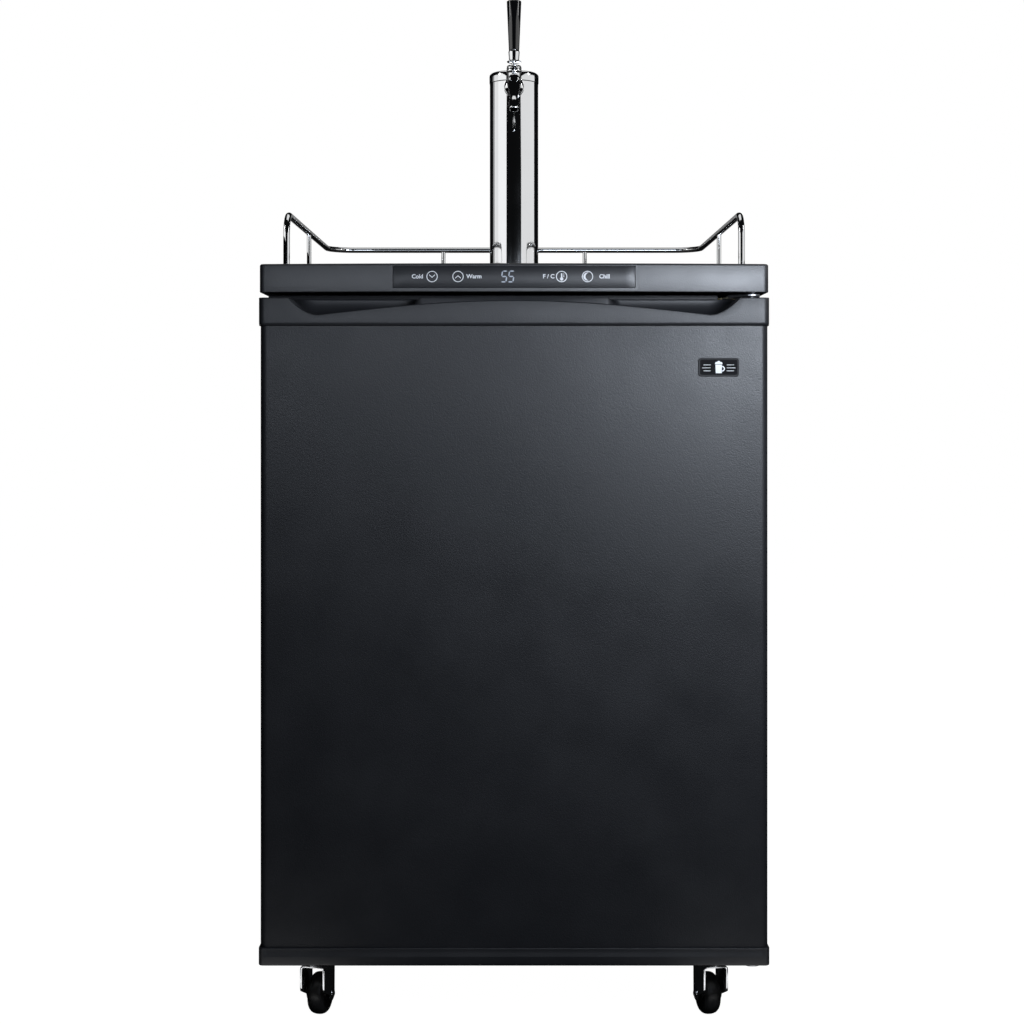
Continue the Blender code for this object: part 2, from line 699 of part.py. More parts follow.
def tower_column():
    """The polished tube, with the shank's hole near its top."""
    start = WORKTOP_HEIGHT + FLANGE_THICKNESS + TOUCH_GAP
    length = TOWER_TOP - CAP_HEIGHT - TOUCH_GAP - start
    inner = TOWER_RADIUS - TOWER_WALL
    column = bush("tower_column", TOWER_RADIUS, inner, length, (0, TOWER_Y, start), "+Z", CHROME, 32)
    bore = (0, TOWER_Y, FAUCET_Z)
    return carve(column, drum("shank_bore", SHANK_RADIUS + TOUCH_GAP, 0.060, bore, "-Y", CHROME, 16))


def tower_cap():
    """The lid that plugs the column's top."""
    plug = TOWER_RADIUS - TOWER_WALL - TOUCH_GAP
    rim = TOWER_RADIUS + CAP_LIP
    profile = [
        (0, -0.002),
        (plug, -0.002),
        (plug, 0),
        (rim, 0),
        (rim, CAP_HEIGHT - 0.003),
        (rim - 0.003, CAP_HEIGHT - 0.0006),
        (0, CAP_HEIGHT),
    ]
    return turned("tower_cap", profile, (0, TOWER_Y, TOWER_TOP - CAP_HEIGHT), "+Z", CHROME, 32)


def faucet_shank():
    """The tube through the column's wall that the beer line ends on, with a barb inside."""
    rear = TOWER_Y + 0.012 - FAUCET_REAR
    profile = [
        (0.003, TOUCH_GAP),
        (SHANK_RADIUS, TOUCH_GAP),
        (SHANK_RADIUS, rear - 0.014),
        (0.005, rear - 0.014),
        (0.0042, rear),
        (0.003, rear),
    ]
    centre = (0, FAUCET_REAR, FAUCET_Z)
    return turned("faucet_shank", profile, centre, "+Y", STEEL, 16, ring=True)


def shank_collar():
    """The round washer between the column and the nut, its back hollowed to the column's curve."""
    start = FAUCET_REAR + NUT_LENGTH + TOUCH_GAP
    length = COLLAR_THICKNESS + 0.010
    collar = bush(
        "shank_collar",
        COLLAR_RADIUS,
        SHANK_RADIUS + TOUCH_GAP,
        length,
        (0, start, FAUCET_Z),
        "+Y",
        CHROME,
        24,
    )
    centre = (0, TOWER_Y, FAUCET_Z - 0.030)
    room = TOWER_RADIUS + CAP_LIP + TOUCH_GAP
    return carve(collar, drum("column_room", room, 0.060, centre, "+Z", CHROME, 48))


def coupling_nut():
    """The ring nut that pulls the faucet onto the shank."""
    start = (0, FAUCET_REAR, FAUCET_Z)
    inner = SHANK_RADIUS + TOUCH_GAP
    return bush("coupling_nut", NUT_RADIUS, inner, NUT_LENGTH, start, "+Y", CHROME, 20)


def faucet_body():
    """The faucet: a bored barrel, a socket for the lever's ball and a spout that bends down."""
    rear = (0, FAUCET_REAR - TOUCH_GAP, FAUCET_Z)
    nose = BODY_LENGTH - 0.004
    barrel_profile = [
        (0, 0),
        (BODY_RADIUS + 0.002, 0),
        (BODY_RADIUS + 0.002, 0.003),
        (BODY_RADIUS, 0.005),
        (BODY_RADIUS, nose),
        (BODY_RADIUS - 0.003, BODY_LENGTH),
        (0, BODY_LENGTH),
    ]
    body = turned("faucet_body", barrel_profile, rear, "-Y", CHROME, 20)
    socket_start = (0, LEVER_Y, FAUCET_Z + 0.001)
    socket = drum("lever_socket", 0.0095, LEVER_RISE + 0.002, socket_start, "+Z", CHROME, 18)
    spout_y = FAUCET_REAR - BODY_LENGTH + 0.009
    tip = SPOUT_LENGTH - 0.0013
    spout_profile = [
        (0, 0),
        (SPOUT_RADIUS, 0),
        (SPOUT_RADIUS, tip - 0.012),
        (SPOUT_RADIUS - 0.0008, tip),
        (SPOUT_BORE, tip),
        (SPOUT_BORE, tip - 0.015),
        (0, tip - 0.015),
    ]
    root = Vector((0, spout_y, FAUCET_Z - 0.0013))
    spout = turned("spout", spout_profile, root, "-Z", CHROME, 14)
    lean = Matrix.Translation(root) @ Matrix.Rotation(-SPOUT_TILT, 4, "X")
    spout.data.transform(lean @ Matrix.Translation(-root))
    fuse(body, socket, spout)
    reach = LEVER_SETBACK + 0.010
    mouth = (0, FAUCET_REAR + 0.010, FAUCET_Z)
    bore = drum("shaft_bore", BODY_BORE, reach + 0.010, mouth, "-Y", CHROME, 16)
    well_base = (0, LEVER_Y, FAUCET_Z - 0.002)
    well = drum("lever_well", LEVER_BALL + LEVER_ROOM, 0.030, well_base, "+Z", CHROME, 18)
    return carve(body, bore, well)


def faucet_bonnet():
    """The ring that holds the lever's ball down on its seat."""
    height = LEVER_Z + 0.0035
    hole = LEVER_BALL + LEVER_ROOM
    profile = [(hole, 0), (0.0106, 0), (0.0106, 0.0025), (0.0092, 0.0045), (hole, 0.0045)]
    return turned("faucet_bonnet", profile, (0, LEVER_Y, height), "+Z", CHROME, 20, ring=True)


def faucet_shaft():
    """The rod that the lever's lower tip pushes back off its seat."""
    start = LEVER_Y + LEVER_TIP + 2 * TOUCH_GAP
    length = FAUCET_REAR - start - SHAFT_TRAVEL - 0.001
    profile = [
        (0, 0),
        (SHAFT_RADIUS, 0),
        (SHAFT_RADIUS, 0.004),
        (0.0025, 0.004),
        (0.0025, length - 0.003),
        (SHAFT_RADIUS, length - 0.003),
        (SHAFT_RADIUS, length),
        (0, length),
    ]
    shaft = turned("faucet_shaft", profile, (0, start, FAUCET_Z), "+Y", STEEL, 12)
    return centre_on(shaft, (0, start, FAUCET_Z))


def tap_lever():
    """The chrome lever: a ball on its pivot, a tip below it on the faucet's axis and a stud above."""
    profile = [
        (0, -LEVER_RISE),
        (LEVER_TIP, -LEVER_RISE),
        (LEVER_TIP, -0.0045),
        (LEVER_BALL - 0.0006, -0.0018),
        (LEVER_BALL, 0.0),
        (LEVER_BALL - 0.0006, 0.0022),
        (LEVER_STUD, 0.0040),
        (LEVER_STUD, STUD_HEIGHT),
        (0, STUD_HEIGHT),
    ]
    lever = turned("tap_lever", profile, (0, LEVER_Y, LEVER_Z), "+Z", CHROME, 16)
    return centre_on(lever, (0, LEVER_Y, LEVER_Z))


def tap_ferrule():
    """The tapered chrome ferrule under the handle."""
    start = LEVER_Z + STUD_HEIGHT + TOUCH_GAP
    length = FAUCET_Z + HANDLE_BOTTOM - TOUCH_GAP - start
    profile = [(0, 0), (0.0050, 0), (0.0068, length - 0.002), (0.0064, length), (0, length)]
    return turned("tap_ferrule", profile, (0, LEVER_Y, start), "+Z", CHROME, 16)


def tap_handle():
    """The black tapered handle, widest near its top."""
    start = FAUCET_Z + HANDLE_BOTTOM
    length = HANDLE_LENGTH
    profile = [
        (0, 0),
        (0.0064, 0),
        (0.0070, 0.004),
        (0.0088, length - 0.006),
        (0.0080, length - 0.0015),
        (0, length),
    ]
    return turned("tap_handle", profile, (0, LEVER_Y, start), "+Z", HANDLE_GLOSS, 20)


# ---------------------------------------------------------------- door
def rounded_front(half, front, back, corner):
    """A plan view with rounded front corners."""
    right = arc((half - corner, front + corner), corner, 0, -90, 4)
    left = arc((-half + corner, front + corner), corner, -90, -180, 4)
    return right + left + [(-half, back), (half, back)]


def lip_outline():
    """The grip's front view: a steep fall at each end and a lip that rises to the middle."""
    left = [(-GRIP_HALF, DOOR_TOP + 0.010), (-GRIP_HALF, DOOR_TOP - 0.001)]
    fall = arc((-GRIP_HALF + 0.034, DOOR_TOP - 0.001), 0.034, 180, 270, 5)
    left += [(x, DOOR_TOP - 0.001 - (DOOR_TOP - 0.001 - z) * GRIP_DEPTH / 0.034) for x, z in fall[1:]]
    start_x, start_z = left[-1]
    end_z = DOOR_TOP - GRIP_CENTRE_DROP
    for index in range(1, 6):
        share = index / 5
        rise = math.sin(share * math.pi / 2) ** 1.2
        left.append((start_x * (1 - share), start_z + (end_z - start_z) * rise))
    return left + [(-x, z) for x, z in reversed(left[:-1])]


def door_top_trim():
    """The door's top rail, with a wave-shaped lip and a pocket behind it on each side for the fingers."""
    outline = rounded_front(SIDE, TRIM_FRONT, DOOR_CORE_BACK, TRIM_CORNER)
    trim = prism("door_top_trim", outline, "Z", TRIM_FLOOR, DOOR_TOP, BLACK_PLASTIC)
    lip_back = TRIM_FRONT + LIP_THICKNESS
    wave = prism("grip_wave", lip_outline(), "Y", TRIM_FRONT - 0.010, lip_back, BLACK_PLASTIC)
    carve(trim, wave)
    for name, side in (("left", -1), ("right", 1)):
        low_x, high_x = sorted((side * GRIP_MIDDLE, side * (GRIP_HALF - 0.004)))
        low = (low_x, lip_back - 0.0005, DOOR_TOP - POCKET_DEPTH)
        high = (high_x, DOOR_CORE_BACK - 0.012, DOOR_TOP + 0.010)
        carve(trim, block(f"grip_pocket_{name}", low, high, BLACK_PLASTIC))
    start = (HINGE_X, HINGE_Y, DOOR_TOP - 0.012)
    hole = drum("top_pin_hole", HINGE_PIN + PIN_CLEARANCE, 0.020, start, "+Z", BLACK_PLASTIC, 16)
    return carve(trim, hole)


def door_bottom_trim():
    """The door's lower rail."""
    outline = rounded_front(SIDE, TRIM_FRONT, DOOR_CORE_BACK, TRIM_CORNER)
    trim = prism("door_bottom_trim", outline, "Z", DOOR_BOTTOM, TRIM_CEILING, BLACK_PLASTIC)
    start = (HINGE_X, HINGE_Y, DOOR_BOTTOM - 0.008)
    hole = drum("low_pin_hole", HINGE_PIN + PIN_CLEARANCE, 0.0205, start, "+Z", BLACK_PLASTIC, 16)
    return carve(trim, hole)


def door_skin():
    """The folded steel face of the door."""
    half = SKIN_SIDE
    outer = rounded_front(half, SKIN_FRONT, DOOR_CORE_BACK, 0.004)[:-2]
    inner = rounded_front(half - SHEET, SKIN_FRONT + SHEET, DOOR_CORE_BACK, 0.003)[:-2]
    ends = [(-half, DOOR_CORE_BACK), (-half + SHEET, DOOR_CORE_BACK)]
    other = [(half - SHEET, DOOR_CORE_BACK), (half, DOOR_CORE_BACK)]
    outline = outer + ends + list(reversed(inner)) + other
    low = TRIM_CEILING + TOUCH_GAP
    return prism("door_skin", outline, "Z", low, TRIM_FLOOR - TOUCH_GAP, BLACK_PAINT)


def door_foam():
    """The insulation inside the door."""
    half = SKIN_SIDE - SHEET - TOUCH_GAP
    front = SKIN_FRONT + SHEET + TOUCH_GAP
    outline = rounded_front(half, front, DOOR_CORE_BACK, 0.004)
    return prism("door_foam", outline, "Z", TRIM_CEILING + TOUCH_GAP, TRIM_FLOOR - TOUCH_GAP, FOAM)


def door_liner():
    """The moulded sheet on the door's inner side, with a raised middle inside the gasket."""
    inset = 0.002
    low = (-SKIN_SIDE + inset, DOOR_LINER_FRONT, DOOR_BOTTOM + inset)
    high = (SKIN_SIDE - inset, DOOR_LINER_BACK, DOOR_TOP - inset)
    liner = block("door_liner", low, high, WHITE_LINER)
    margin = 0.014
    half = CAVITY_SIDE - margin
    start = (-half, DOOR_LINER_BACK - 0.001, CAVITY_FLOOR + margin)
    end = (half, DOOR_LINER_BACK + 0.008, CAVITY_CEILING - margin)
    return fuse(liner, block("liner_middle", start, end, WHITE_LINER, bevel=0.003))


def door_gasket():
    """The magnetic seal round the door's inner side."""
    half = SIDE - GASKET_INSET
    low = CAVITY_FLOOR - GASKET_WIDTH - 0.004
    high = CAVITY_CEILING + GASKET_WIDTH + 0.004
    ring = block("door_gasket", (-half, GASKET_FRONT, low), (half, GASKET_BACK, high), GASKET)
    mouth = block(
        "gasket_mouth",
        (-half + GASKET_WIDTH, GASKET_FRONT - 0.005, low + GASKET_WIDTH),
        (half - GASKET_WIDTH, GASKET_BACK + 0.005, high - GASKET_WIDTH),
        GASKET,
    )
    return carve(ring, mouth)


def badge():
    """The small plate on the door's face."""
    width, thickness, height = BADGE_SIZE
    x = SIDE - BADGE_INSET
    z = WORKTOP_HEIGHT - BADGE_DROP
    low = (x - width / 2, SKIN_FRONT - TOUCH_GAP - thickness, z - height / 2)
    return block("badge", low, (x + width / 2, SKIN_FRONT - TOUCH_GAP, z + height / 2), CHROME)


def hinge_plate(name, low, high, back):
    """A plate that reaches forward to a round end over the door's pin."""
    round_end = arc((HINGE_X, HINGE_Y), 0.010, 180, 360, 8)
    foot_front = CABINET_FRONT - BASE_FORWARD
    inner = HINGE_X - 0.026
    outline = round_end + [(HINGE_X + 0.010, back), (inner, back), (inner, foot_front)]
    return prism(name, outline, "Z", low, high, ZINC)


def top_hinge():
    """The plate under the worktop cover, with a pin down into the door."""
    low = CABINET_TOP - 0.0037
    plate = hinge_plate("top_hinge", low, low + HINGE_PLATE, CABINET_FRONT + 0.038)
    pin = drum("top_pin", HINGE_PIN, 0.013, (HINGE_X, HINGE_Y, low + 0.001), "-Z", ZINC, 16)
    return fuse(plate, pin)


def bottom_hinge():
    """The stepped bracket on the base pan, with a pin up into the door."""
    seat = CABINET_BASE + TOUCH_GAP
    low = DOOR_BOTTOM - 0.0028 - HINGE_PLATE
    foot_front = CABINET_FRONT - BASE_FORWARD + 0.001
    plate = hinge_plate("bottom_hinge", low, low + HINGE_PLATE, CABINET_FRONT - 0.001)
    start = (HINGE_X - 0.024, foot_front, seat)
    end = (HINGE_X + 0.008, CABINET_FRONT - 0.002, low + 0.001)
    foot = block("hinge_foot", start, end, ZINC)
    pin_base = (HINGE_X, HINGE_Y, low + HINGE_PLATE - 0.001)
    pin = drum("low_pin", HINGE_PIN, 0.013, pin_base, "+Z", ZINC, 16)
    return fuse(plate, foot, pin)


# ---------------------------------------------------------------- casters
def fork_leg(name, side):
    """One leg of the fork, from the crown down and back to the axle."""
    crown = CASTER_HEIGHT - SOCKET_HEIGHT - SWIVEL_GAP - RACE_HEIGHT
    outline = arc((CASTER_TRAIL, WHEEL_RADIUS), 0.008, 0, -180, 6)
    outline += [(-RACE_RADIUS, crown - FORK_SHOULDER), (-RACE_RADIUS, crown)]
    outline.append((CASTER_TRAIL + 0.010, crown))
    inner = WHEEL_TREAD / 2 + FORK_SIDE_GAP
    low, high = sorted((side * inner, side * (inner + FORK_SHEET)))
    return prism(name, outline, "X", low, high, ZINC)


def caster_fork(name):
    """A pressed fork that swivels under its socket; the wheel trails behind its axis."""
    crown = CASTER_HEIGHT - SOCKET_HEIGHT - SWIVEL_GAP - RACE_HEIGHT
    fork = fork_leg(f"{name}_fork", -1)
    outer = WHEEL_TREAD / 2 + FORK_SIDE_GAP + FORK_SHEET
    inner = WHEEL_TREAD / 2 + FORK_SIDE_GAP
    low = (-outer, -RACE_RADIUS, crown - FORK_SHEET)
    bridge = block(f"{name}_crown", low, (outer, CASTER_TRAIL + 0.010, crown), ZINC)
    race_base = (0, 0, crown - 0.001)
    race = drum(f"{name}_race", RACE_RADIUS, RACE_HEIGHT + 0.001, race_base, "+Z", ZINC, 20)
    axle_start = (-inner - FORK_SHEET - 0.002, CASTER_TRAIL, WHEEL_RADIUS)
    axle_length = 2 * (inner + FORK_SHEET + 0.002)
    axle = drum(f"{name}_axle", AXLE_RADIUS, axle_length, axle_start, "+X", ZINC, 12)
    return fuse(fork, fork_leg(f"{name}_leg", 1), bridge, race, axle)


def caster_wheel(name):
    """A wheel with a slightly crowned tread and a running hole for the axle."""
    steps = 24
    rim = WHEEL_RADIUS / math.cos(math.pi / steps)
    half = WHEEL_TREAD / 2
    bore = AXLE_RADIUS / math.cos(math.pi / 12) + RUNNING_GAP
    profile = [
        (bore, 0),
        (0.010, 0),
        (0.0115, 0.002),
        (0.0165, 0.002),
        (rim - 0.005, 0.001),
        (rim - 0.001, 0.005),
        (rim, half),
        (rim - 0.001, WHEEL_TREAD - 0.005),
        (rim - 0.005, WHEEL_TREAD - 0.001),
        (0.0165, WHEEL_TREAD - 0.002),
        (0.0115, WHEEL_TREAD - 0.002),
        (0.010, WHEEL_TREAD),
        (bore, WHEEL_TREAD),
    ]
    centre = (-half, CASTER_TRAIL, WHEEL_RADIUS)
    wheel = turned(f"{name}_wheel", profile, centre, "+X", TYRE, steps, ring=True)
    return centre_on(wheel, (0, CASTER_TRAIL, WHEEL_RADIUS))


def casters():
    """Four casters, each on an empty at its swivel axis."""
    for name, x, y, yaw in swivel_places():
        swivel = hub(f"caster_{name}", (x, y, 0), yaw)
        fork = caster_fork(f"caster_{name}")
        for part in [fork] + [m.object for m in fork.modifiers]:
            part.parent = swivel
        caster_wheel(f"caster_{name}").parent = swivel


# ---------------------------------------------------------------- cooling system
def compressor():
    """The sealed pot on its foot plate, with its suction stub."""
    width, depth, height = COMPRESSOR_SIZE
    place = (COMPRESSOR_X, BAY_MIDDLE, CABINET_BASE + TOUCH_GAP)
    profile = [
        (0, 0.008),
        (0.43, 0.008),
        (0.48, 0.03),
        (0.50, 0.07),
        (0.50, 0.095),
        (0.45, 0.125),
        (0.28, height),
        (0, height),
    ]
    pot = turned("compressor", profile, (0, 0, 0), "+Z", BLACK_PAINT, 24)
    pot.data.transform(Matrix.Diagonal((width, depth, 1.0, 1.0)))
    pot.data.transform(Matrix.Translation(Vector(place)))
    half = depth / 2
    low = (place[0] - 0.080, BAY_MIDDLE - half, place[2])
    high = (place[0] + 0.080, BAY_MIDDLE + half, place[2] + 0.010)
    foot = block("compressor_foot", low, high, BLACK_PAINT)
    stub = (place[0] - 0.030, BAY_MIDDLE, place[2] + height - 0.020)
    return fuse(pot, foot, drum("suction_stub", 0.004, 0.040, stub, "+Z", COPPER, 10))


def fin_outline(low_x, high_x, low_y, high_y, pitch=FIN_PITCH):
    """A comb in plan view: fins along +Y on a spine."""
    spine = 0.006
    outline = [(low_x, low_y)]
    count = int((high_x - low_x) / pitch)
    step = (high_x - low_x - FIN_THICKNESS) / count
    for index in range(count, -1, -1):
        start = low_x + index * step
        right = start + FIN_THICKNESS
        if index < count:
            outline.append((right, low_y + spine))
        outline += [(right, high_y), (start, high_y)]
        if index > 0:
            outline.append((start, low_y + spine))
    outline.insert(1, (high_x, low_y))
    return outline


def condenser():
    """The finned heat exchanger beside the fan, in the compressor's bay."""
    width, depth, height = CONDENSER_SIZE
    low_x = -FOAM_SIDE + 0.050
    low_y = BAY_MIDDLE - depth / 2
    outline = fin_outline(low_x, low_x + width, low_y, low_y + depth)
    base = CABINET_BASE + TOUCH_GAP
    return prism("condenser", outline, "Z", base, base + height, ALUMINIUM)


def evaporator_coil():
    """The finned coil that chills the air behind its cover."""
    width, depth, _ = EVAPORATOR_COVER
    outline = [
        (x, 2 * (CAVITY_BACK - TOUCH_GAP) - y)
        for x, y in fin_outline(
            EVAPORATOR_X - width / 2 + 0.020,
            EVAPORATOR_X + width / 2 - 0.020,
            CAVITY_BACK - TOUCH_GAP,
            CAVITY_BACK - TOUCH_GAP + depth - 0.020,
        )
    ]
    low = evaporator_low() + 0.020
    return prism("evaporator_coil", outline, "Z", low, low + 0.110, ALUMINIUM)


def evaporator_low():
    """The level of the evaporator cover's lower edge."""
    return CAVITY_CEILING - 0.030 - EVAPORATOR_COVER[2]


def fan_place():
    """The middle of the evaporator's fan."""
    top = evaporator_low() + EVAPORATOR_COVER[2]
    return (EVAPORATOR_X, CAVITY_BACK - 0.028, top - FAN_RADIUS - 0.022)


def fan_rotor(name, centre, axis, material):
    """A hub with pitched blades; its rear face is at centre and it grows along axis."""
    rotor = drum(name, 0.014, FAN_DEPTH, (0, 0, 0), "+Z", material, 16)
    reach = FAN_RADIUS - FAN_TIP_CLEARANCE
    for index in range(FAN_BLADES):
        low = (0.010, -0.013, -0.0008)
        blade = block(f"{name}_blade_{index}", low, (reach, 0.013, 0.0008), material)
        pitch = Matrix.Rotation(math.radians(24), 4, "X")
        lift = Matrix.Translation((0, 0, FAN_DEPTH / 2))
        spin = Matrix.Rotation(2 * math.pi * index / FAN_BLADES, 4, "Z")
        blade.data.transform(direction(axis).to_4x4() @ spin @ lift @ pitch)
        blade.location = centre
        fuse(rotor, blade)
    rotor.data.transform(direction(axis).to_4x4())
    rotor.location = centre
    return rotor


def fan_shroud():
    """The plate between condenser and compressor, with the fan's ring and its motor on a bar."""
    x = SHROUD_X
    half = (BAY_BACK - BAY_FRONT) / 2 - 0.002
    low = (x, BAY_MIDDLE - half, CABINET_BASE + TOUCH_GAP)
    high = (x + 0.002, BAY_MIDDLE + half, CABINET_BASE + TOUCH_GAP + SHROUD_HEIGHT)
    shroud = block("fan_shroud", low, high, BLACK_PLASTIC)
    middle = (low[2] + high[2]) / 2
    ring_start = (x - 0.010, BAY_MIDDLE, middle)
    ring_hole = drum("shroud_hole", FAN_RADIUS, 0.020, ring_start, "+X", BLACK_PLASTIC, 32)
    carve(shroud, ring_hole)
    bar_low = (x + 0.001, BAY_MIDDLE - 0.006, low[2])
    bar = block("motor_bar", bar_low, (x + 0.004, BAY_MIDDLE + 0.006, high[2]), BLACK_PLASTIC)
    can_start = (x + 0.003, BAY_MIDDLE, middle)
    motor = drum("motor_can", MOTOR_RADIUS, MOTOR_LENGTH, can_start, "+X", ZINC, 20)
    return fuse(shroud, bar, motor)


def condenser_fan():
    """The fan that draws air through the condenser."""
    middle = CABINET_BASE + TOUCH_GAP + SHROUD_HEIGHT / 2
    rear = SHROUD_X + 0.001 - RUNNING_GAP
    return fan_rotor("condenser_fan", (rear, BAY_MIDDLE, middle), "-X", BLACK_PLASTIC)


def evaporator_cover():
    """The white cover on the cavity's back wall, open behind, with the fan's grille and intake slots."""
    width, depth, height = EVAPORATOR_COVER
    left, right = EVAPORATOR_X - width / 2, EVAPORATOR_X + width / 2
    low_z = evaporator_low()
    back = CAVITY_BACK - TOUCH_GAP
    face = back - depth
    skin = COVER_SHEET
    cover = block("evaporator_cover", (left, face, low_z), (right, back, low_z + height), WHITE_LINER)
    room_low = (left + skin, face + skin, low_z + skin)
    room_high = (right - skin, back + 0.010, low_z + height - skin)
    carve(cover, block("cover_room", room_low, room_high, WHITE_LINER))
    x, _, z = fan_place()
    carve(cover, drum("fan_hole", FAN_RADIUS, 0.020, (x, face - 0.010, z), "+Y", WHITE_LINER, 32))
    for index in range(5):
        slot_z = low_z + 0.025 + index * 0.018
        low = (left + 0.040, face - 0.010, slot_z)
        high = (right - 0.040, face + 0.010, slot_z + 0.006)
        carve(cover, block(f"intake_{index}", low, high, WHITE_LINER))
    reach = FAN_RADIUS + 0.003
    low = (x - reach, face, z - 0.005)
    bar = block("grille_bar", low, (x + reach, face + skin, z + 0.005), WHITE_LINER)
    low = (x - 0.005, face, z - reach)
    upright = block("grille_upright", low, (x + 0.005, face + skin, z + reach), WHITE_LINER)
    motor_start = (x, face + skin - 0.001, z)
    motor = drum("fan_motor", MOTOR_RADIUS, FAN_MOTOR, motor_start, "+Y", WHITE_LINER, 20)
    return fuse(cover, bar, upright, motor)


def evaporator_fan():
    """The fan that blows cold air into the cavity."""
    x, _, z = fan_place()
    face = CAVITY_BACK - TOUCH_GAP - EVAPORATOR_COVER[1]
    start = face + COVER_SHEET - 0.001 + FAN_MOTOR + RUNNING_GAP
    return fan_rotor("evaporator_fan", (x, start, z), "+Y", BLACK_PLASTIC)


# ---------------------------------------------------------------- gas supply
CYLINDER_X = -CAVITY_SIDE + CYLINDER_GAP + CYLINDER_RADIUS
CYLINDER_Y = CAVITY_BACK - CYLINDER_GAP - CYLINDER_RADIUS
CYLINDER_TOP = STEP_TOP + TOUCH_GAP + CYLINDER_HEIGHT
OUTLET_Z = CYLINDER_TOP + 0.022
REGULATOR_X = CYLINDER_X + 0.062


def co2_cylinder():
    """The gas cylinder that stands on the step."""
    radius = CYLINDER_RADIUS
    height = CYLINDER_HEIGHT
    angles = (0.0, 0.45, 0.85, 1.25)
    shoulder = [(radius * math.cos(a), height - 0.045 + 0.038 * math.sin(a)) for a in angles]
    foot = [(0, 0), (radius - 0.004, 0), (radius, 0.004)]
    profile = foot + shoulder + [(0.015, height - 0.006), (0.015, height), (0, height)]
    centre = (CYLINDER_X, CYLINDER_Y, STEP_TOP + TOUCH_GAP)
    return turned("co2_cylinder", profile, centre, "+Z", ALUMINIUM, 28)


def cylinder_strap():
    """The band that holds the cylinder to the back wall."""
    inner = CYLINDER_RADIUS + TOUCH_GAP + 0.0004
    outer = inner + 0.0015
    back = CAVITY_BACK - TOUCH_GAP
    outside = arc((CYLINDER_X, CYLINDER_Y), outer, 360, 180, 18)
    inside = arc((CYLINDER_X, CYLINDER_Y), inner, 180, 360, 18)
    outline = [(CYLINDER_X + outer, back)] + outside
    outline += [(CYLINDER_X - outer, back), (CYLINDER_X - inner, back)]
    outline += inside + [(CYLINDER_X + inner, back)]
    middle = STEP_TOP + 0.6 * CYLINDER_HEIGHT
    return prism("cylinder_strap", outline, "Z", middle - 0.0125, middle + 0.0125, STEEL)


def cylinder_valve():
    """The brass valve in the cylinder's neck, with its outlet towards the regulator."""
    base = CYLINDER_TOP + TOUCH_GAP
    profile = [
        (0, 0),
        (VALVE_RADIUS, 0),
        (VALVE_RADIUS, VALVE_HEIGHT - 0.014),
        (0.006, VALVE_HEIGHT - 0.010),
        (0.006, VALVE_HEIGHT),
        (0, VALVE_HEIGHT),
    ]
    valve = turned("cylinder_valve", profile, (CYLINDER_X, CYLINDER_Y, base), "+Z", BRASS, 16)
    outlet = drum("valve_outlet", 0.009, 0.022, (CYLINDER_X, CYLINDER_Y, OUTLET_Z), "+X", BRASS, 16)
    return fuse(valve, outlet)


def valve_handwheel():
    """The handwheel on the cylinder's valve."""
    base = CYLINDER_TOP + TOUCH_GAP + VALVE_HEIGHT + RUNNING_GAP
    outline = []
    teeth = 8
    for index in range(teeth * 2):
        reach = HANDWHEEL_RADIUS if index % 2 else HANDWHEEL_RADIUS - 0.003
        middle = index * 180 / teeth
        spread = 0.35 * 180 / teeth
        outline += arc((0, 0), reach, middle - spread, middle + spread, 1)
    wheel = prism("valve_handwheel", outline, "Z", 0, 0.010, BLACK_PLASTIC)
    wheel.location = (CYLINDER_X, CYLINDER_Y, base)
    return wheel


def regulator_body():
    """The pressure regulator on the valve's outlet, with a hose barb below it."""
    front = (REGULATOR_X, CYLINDER_Y - 0.018, OUTLET_Z)
    radius = REGULATOR_RADIUS
    profile = [
        (0, 0),
        (radius - 0.006, 0),
        (radius - 0.004, 0.008),
        (radius, 0.010),
        (radius, 0.028),
        (radius - 0.004, 0.032),
        (0, 0.032),
    ]
    body = turned("regulator_body", profile, front, "+Y", CHROME, 24)
    nut_start = (CYLINDER_X + 0.022 + TOUCH_GAP, CYLINDER_Y, OUTLET_Z)
    nut_length = REGULATOR_X - nut_start[0] - radius / 2
    nut = drum("inlet_nut", 0.012, nut_length, nut_start, "+X", BRASS, 6)
    middle = (REGULATOR_X, CYLINDER_Y, OUTLET_Z)
    barb = drum("outlet_barb", 0.004, radius + 0.022, middle, "-Z", BRASS, 10)
    stem = drum("gauge_stem", 0.004, radius + 0.006, middle, "+Z", BRASS, 10)
    return fuse(body, nut, barb, stem)


def pressure_gauge():
    """The round dial on the regulator, which faces the door."""
    rise = REGULATOR_RADIUS + 0.006 + GAUGE_RADIUS + TOUCH_GAP
    place = (REGULATOR_X, CYLINDER_Y + 0.008, OUTLET_Z + rise)
    radius = GAUGE_RADIUS
    profile = [
        (0, 0),
        (radius - 0.001, 0),
        (radius, 0.001),
        (radius, 0.022),
        (radius - 0.002, 0.024),
        (radius - 0.003, 0.0225),
        (0, 0.0225),
    ]
    return turned("pressure_gauge", profile, place, "-Y", CHROME, 24)


def regulator_knob():
    """The pressure-setting knob."""
    place = (REGULATOR_X, CYLINDER_Y - 0.018 - RUNNING_GAP, OUTLET_Z)
    radius = KNOB_RADIUS
    profile = [(0, 0), (radius, 0), (radius, 0.016), (radius - 0.002, 0.018), (0, 0.018)]
    knob = turned("regulator_knob", profile, place, "-Y", BLACK_PLASTIC, 12)
    return centre_on(knob, place)


# ---------------------------------------------------------------- keg coupler
COUPLER_X = 0.150
COUPLER_Y = (STEP_FRONT + CAVITY_BACK - EVAPORATOR_COVER[1]) / 2 + 0.002
COUPLER_BASE = STEP_TOP + TOUCH_GAP
PIVOT_Z = COUPLER_BASE + COUPLER_HEIGHT - 0.014


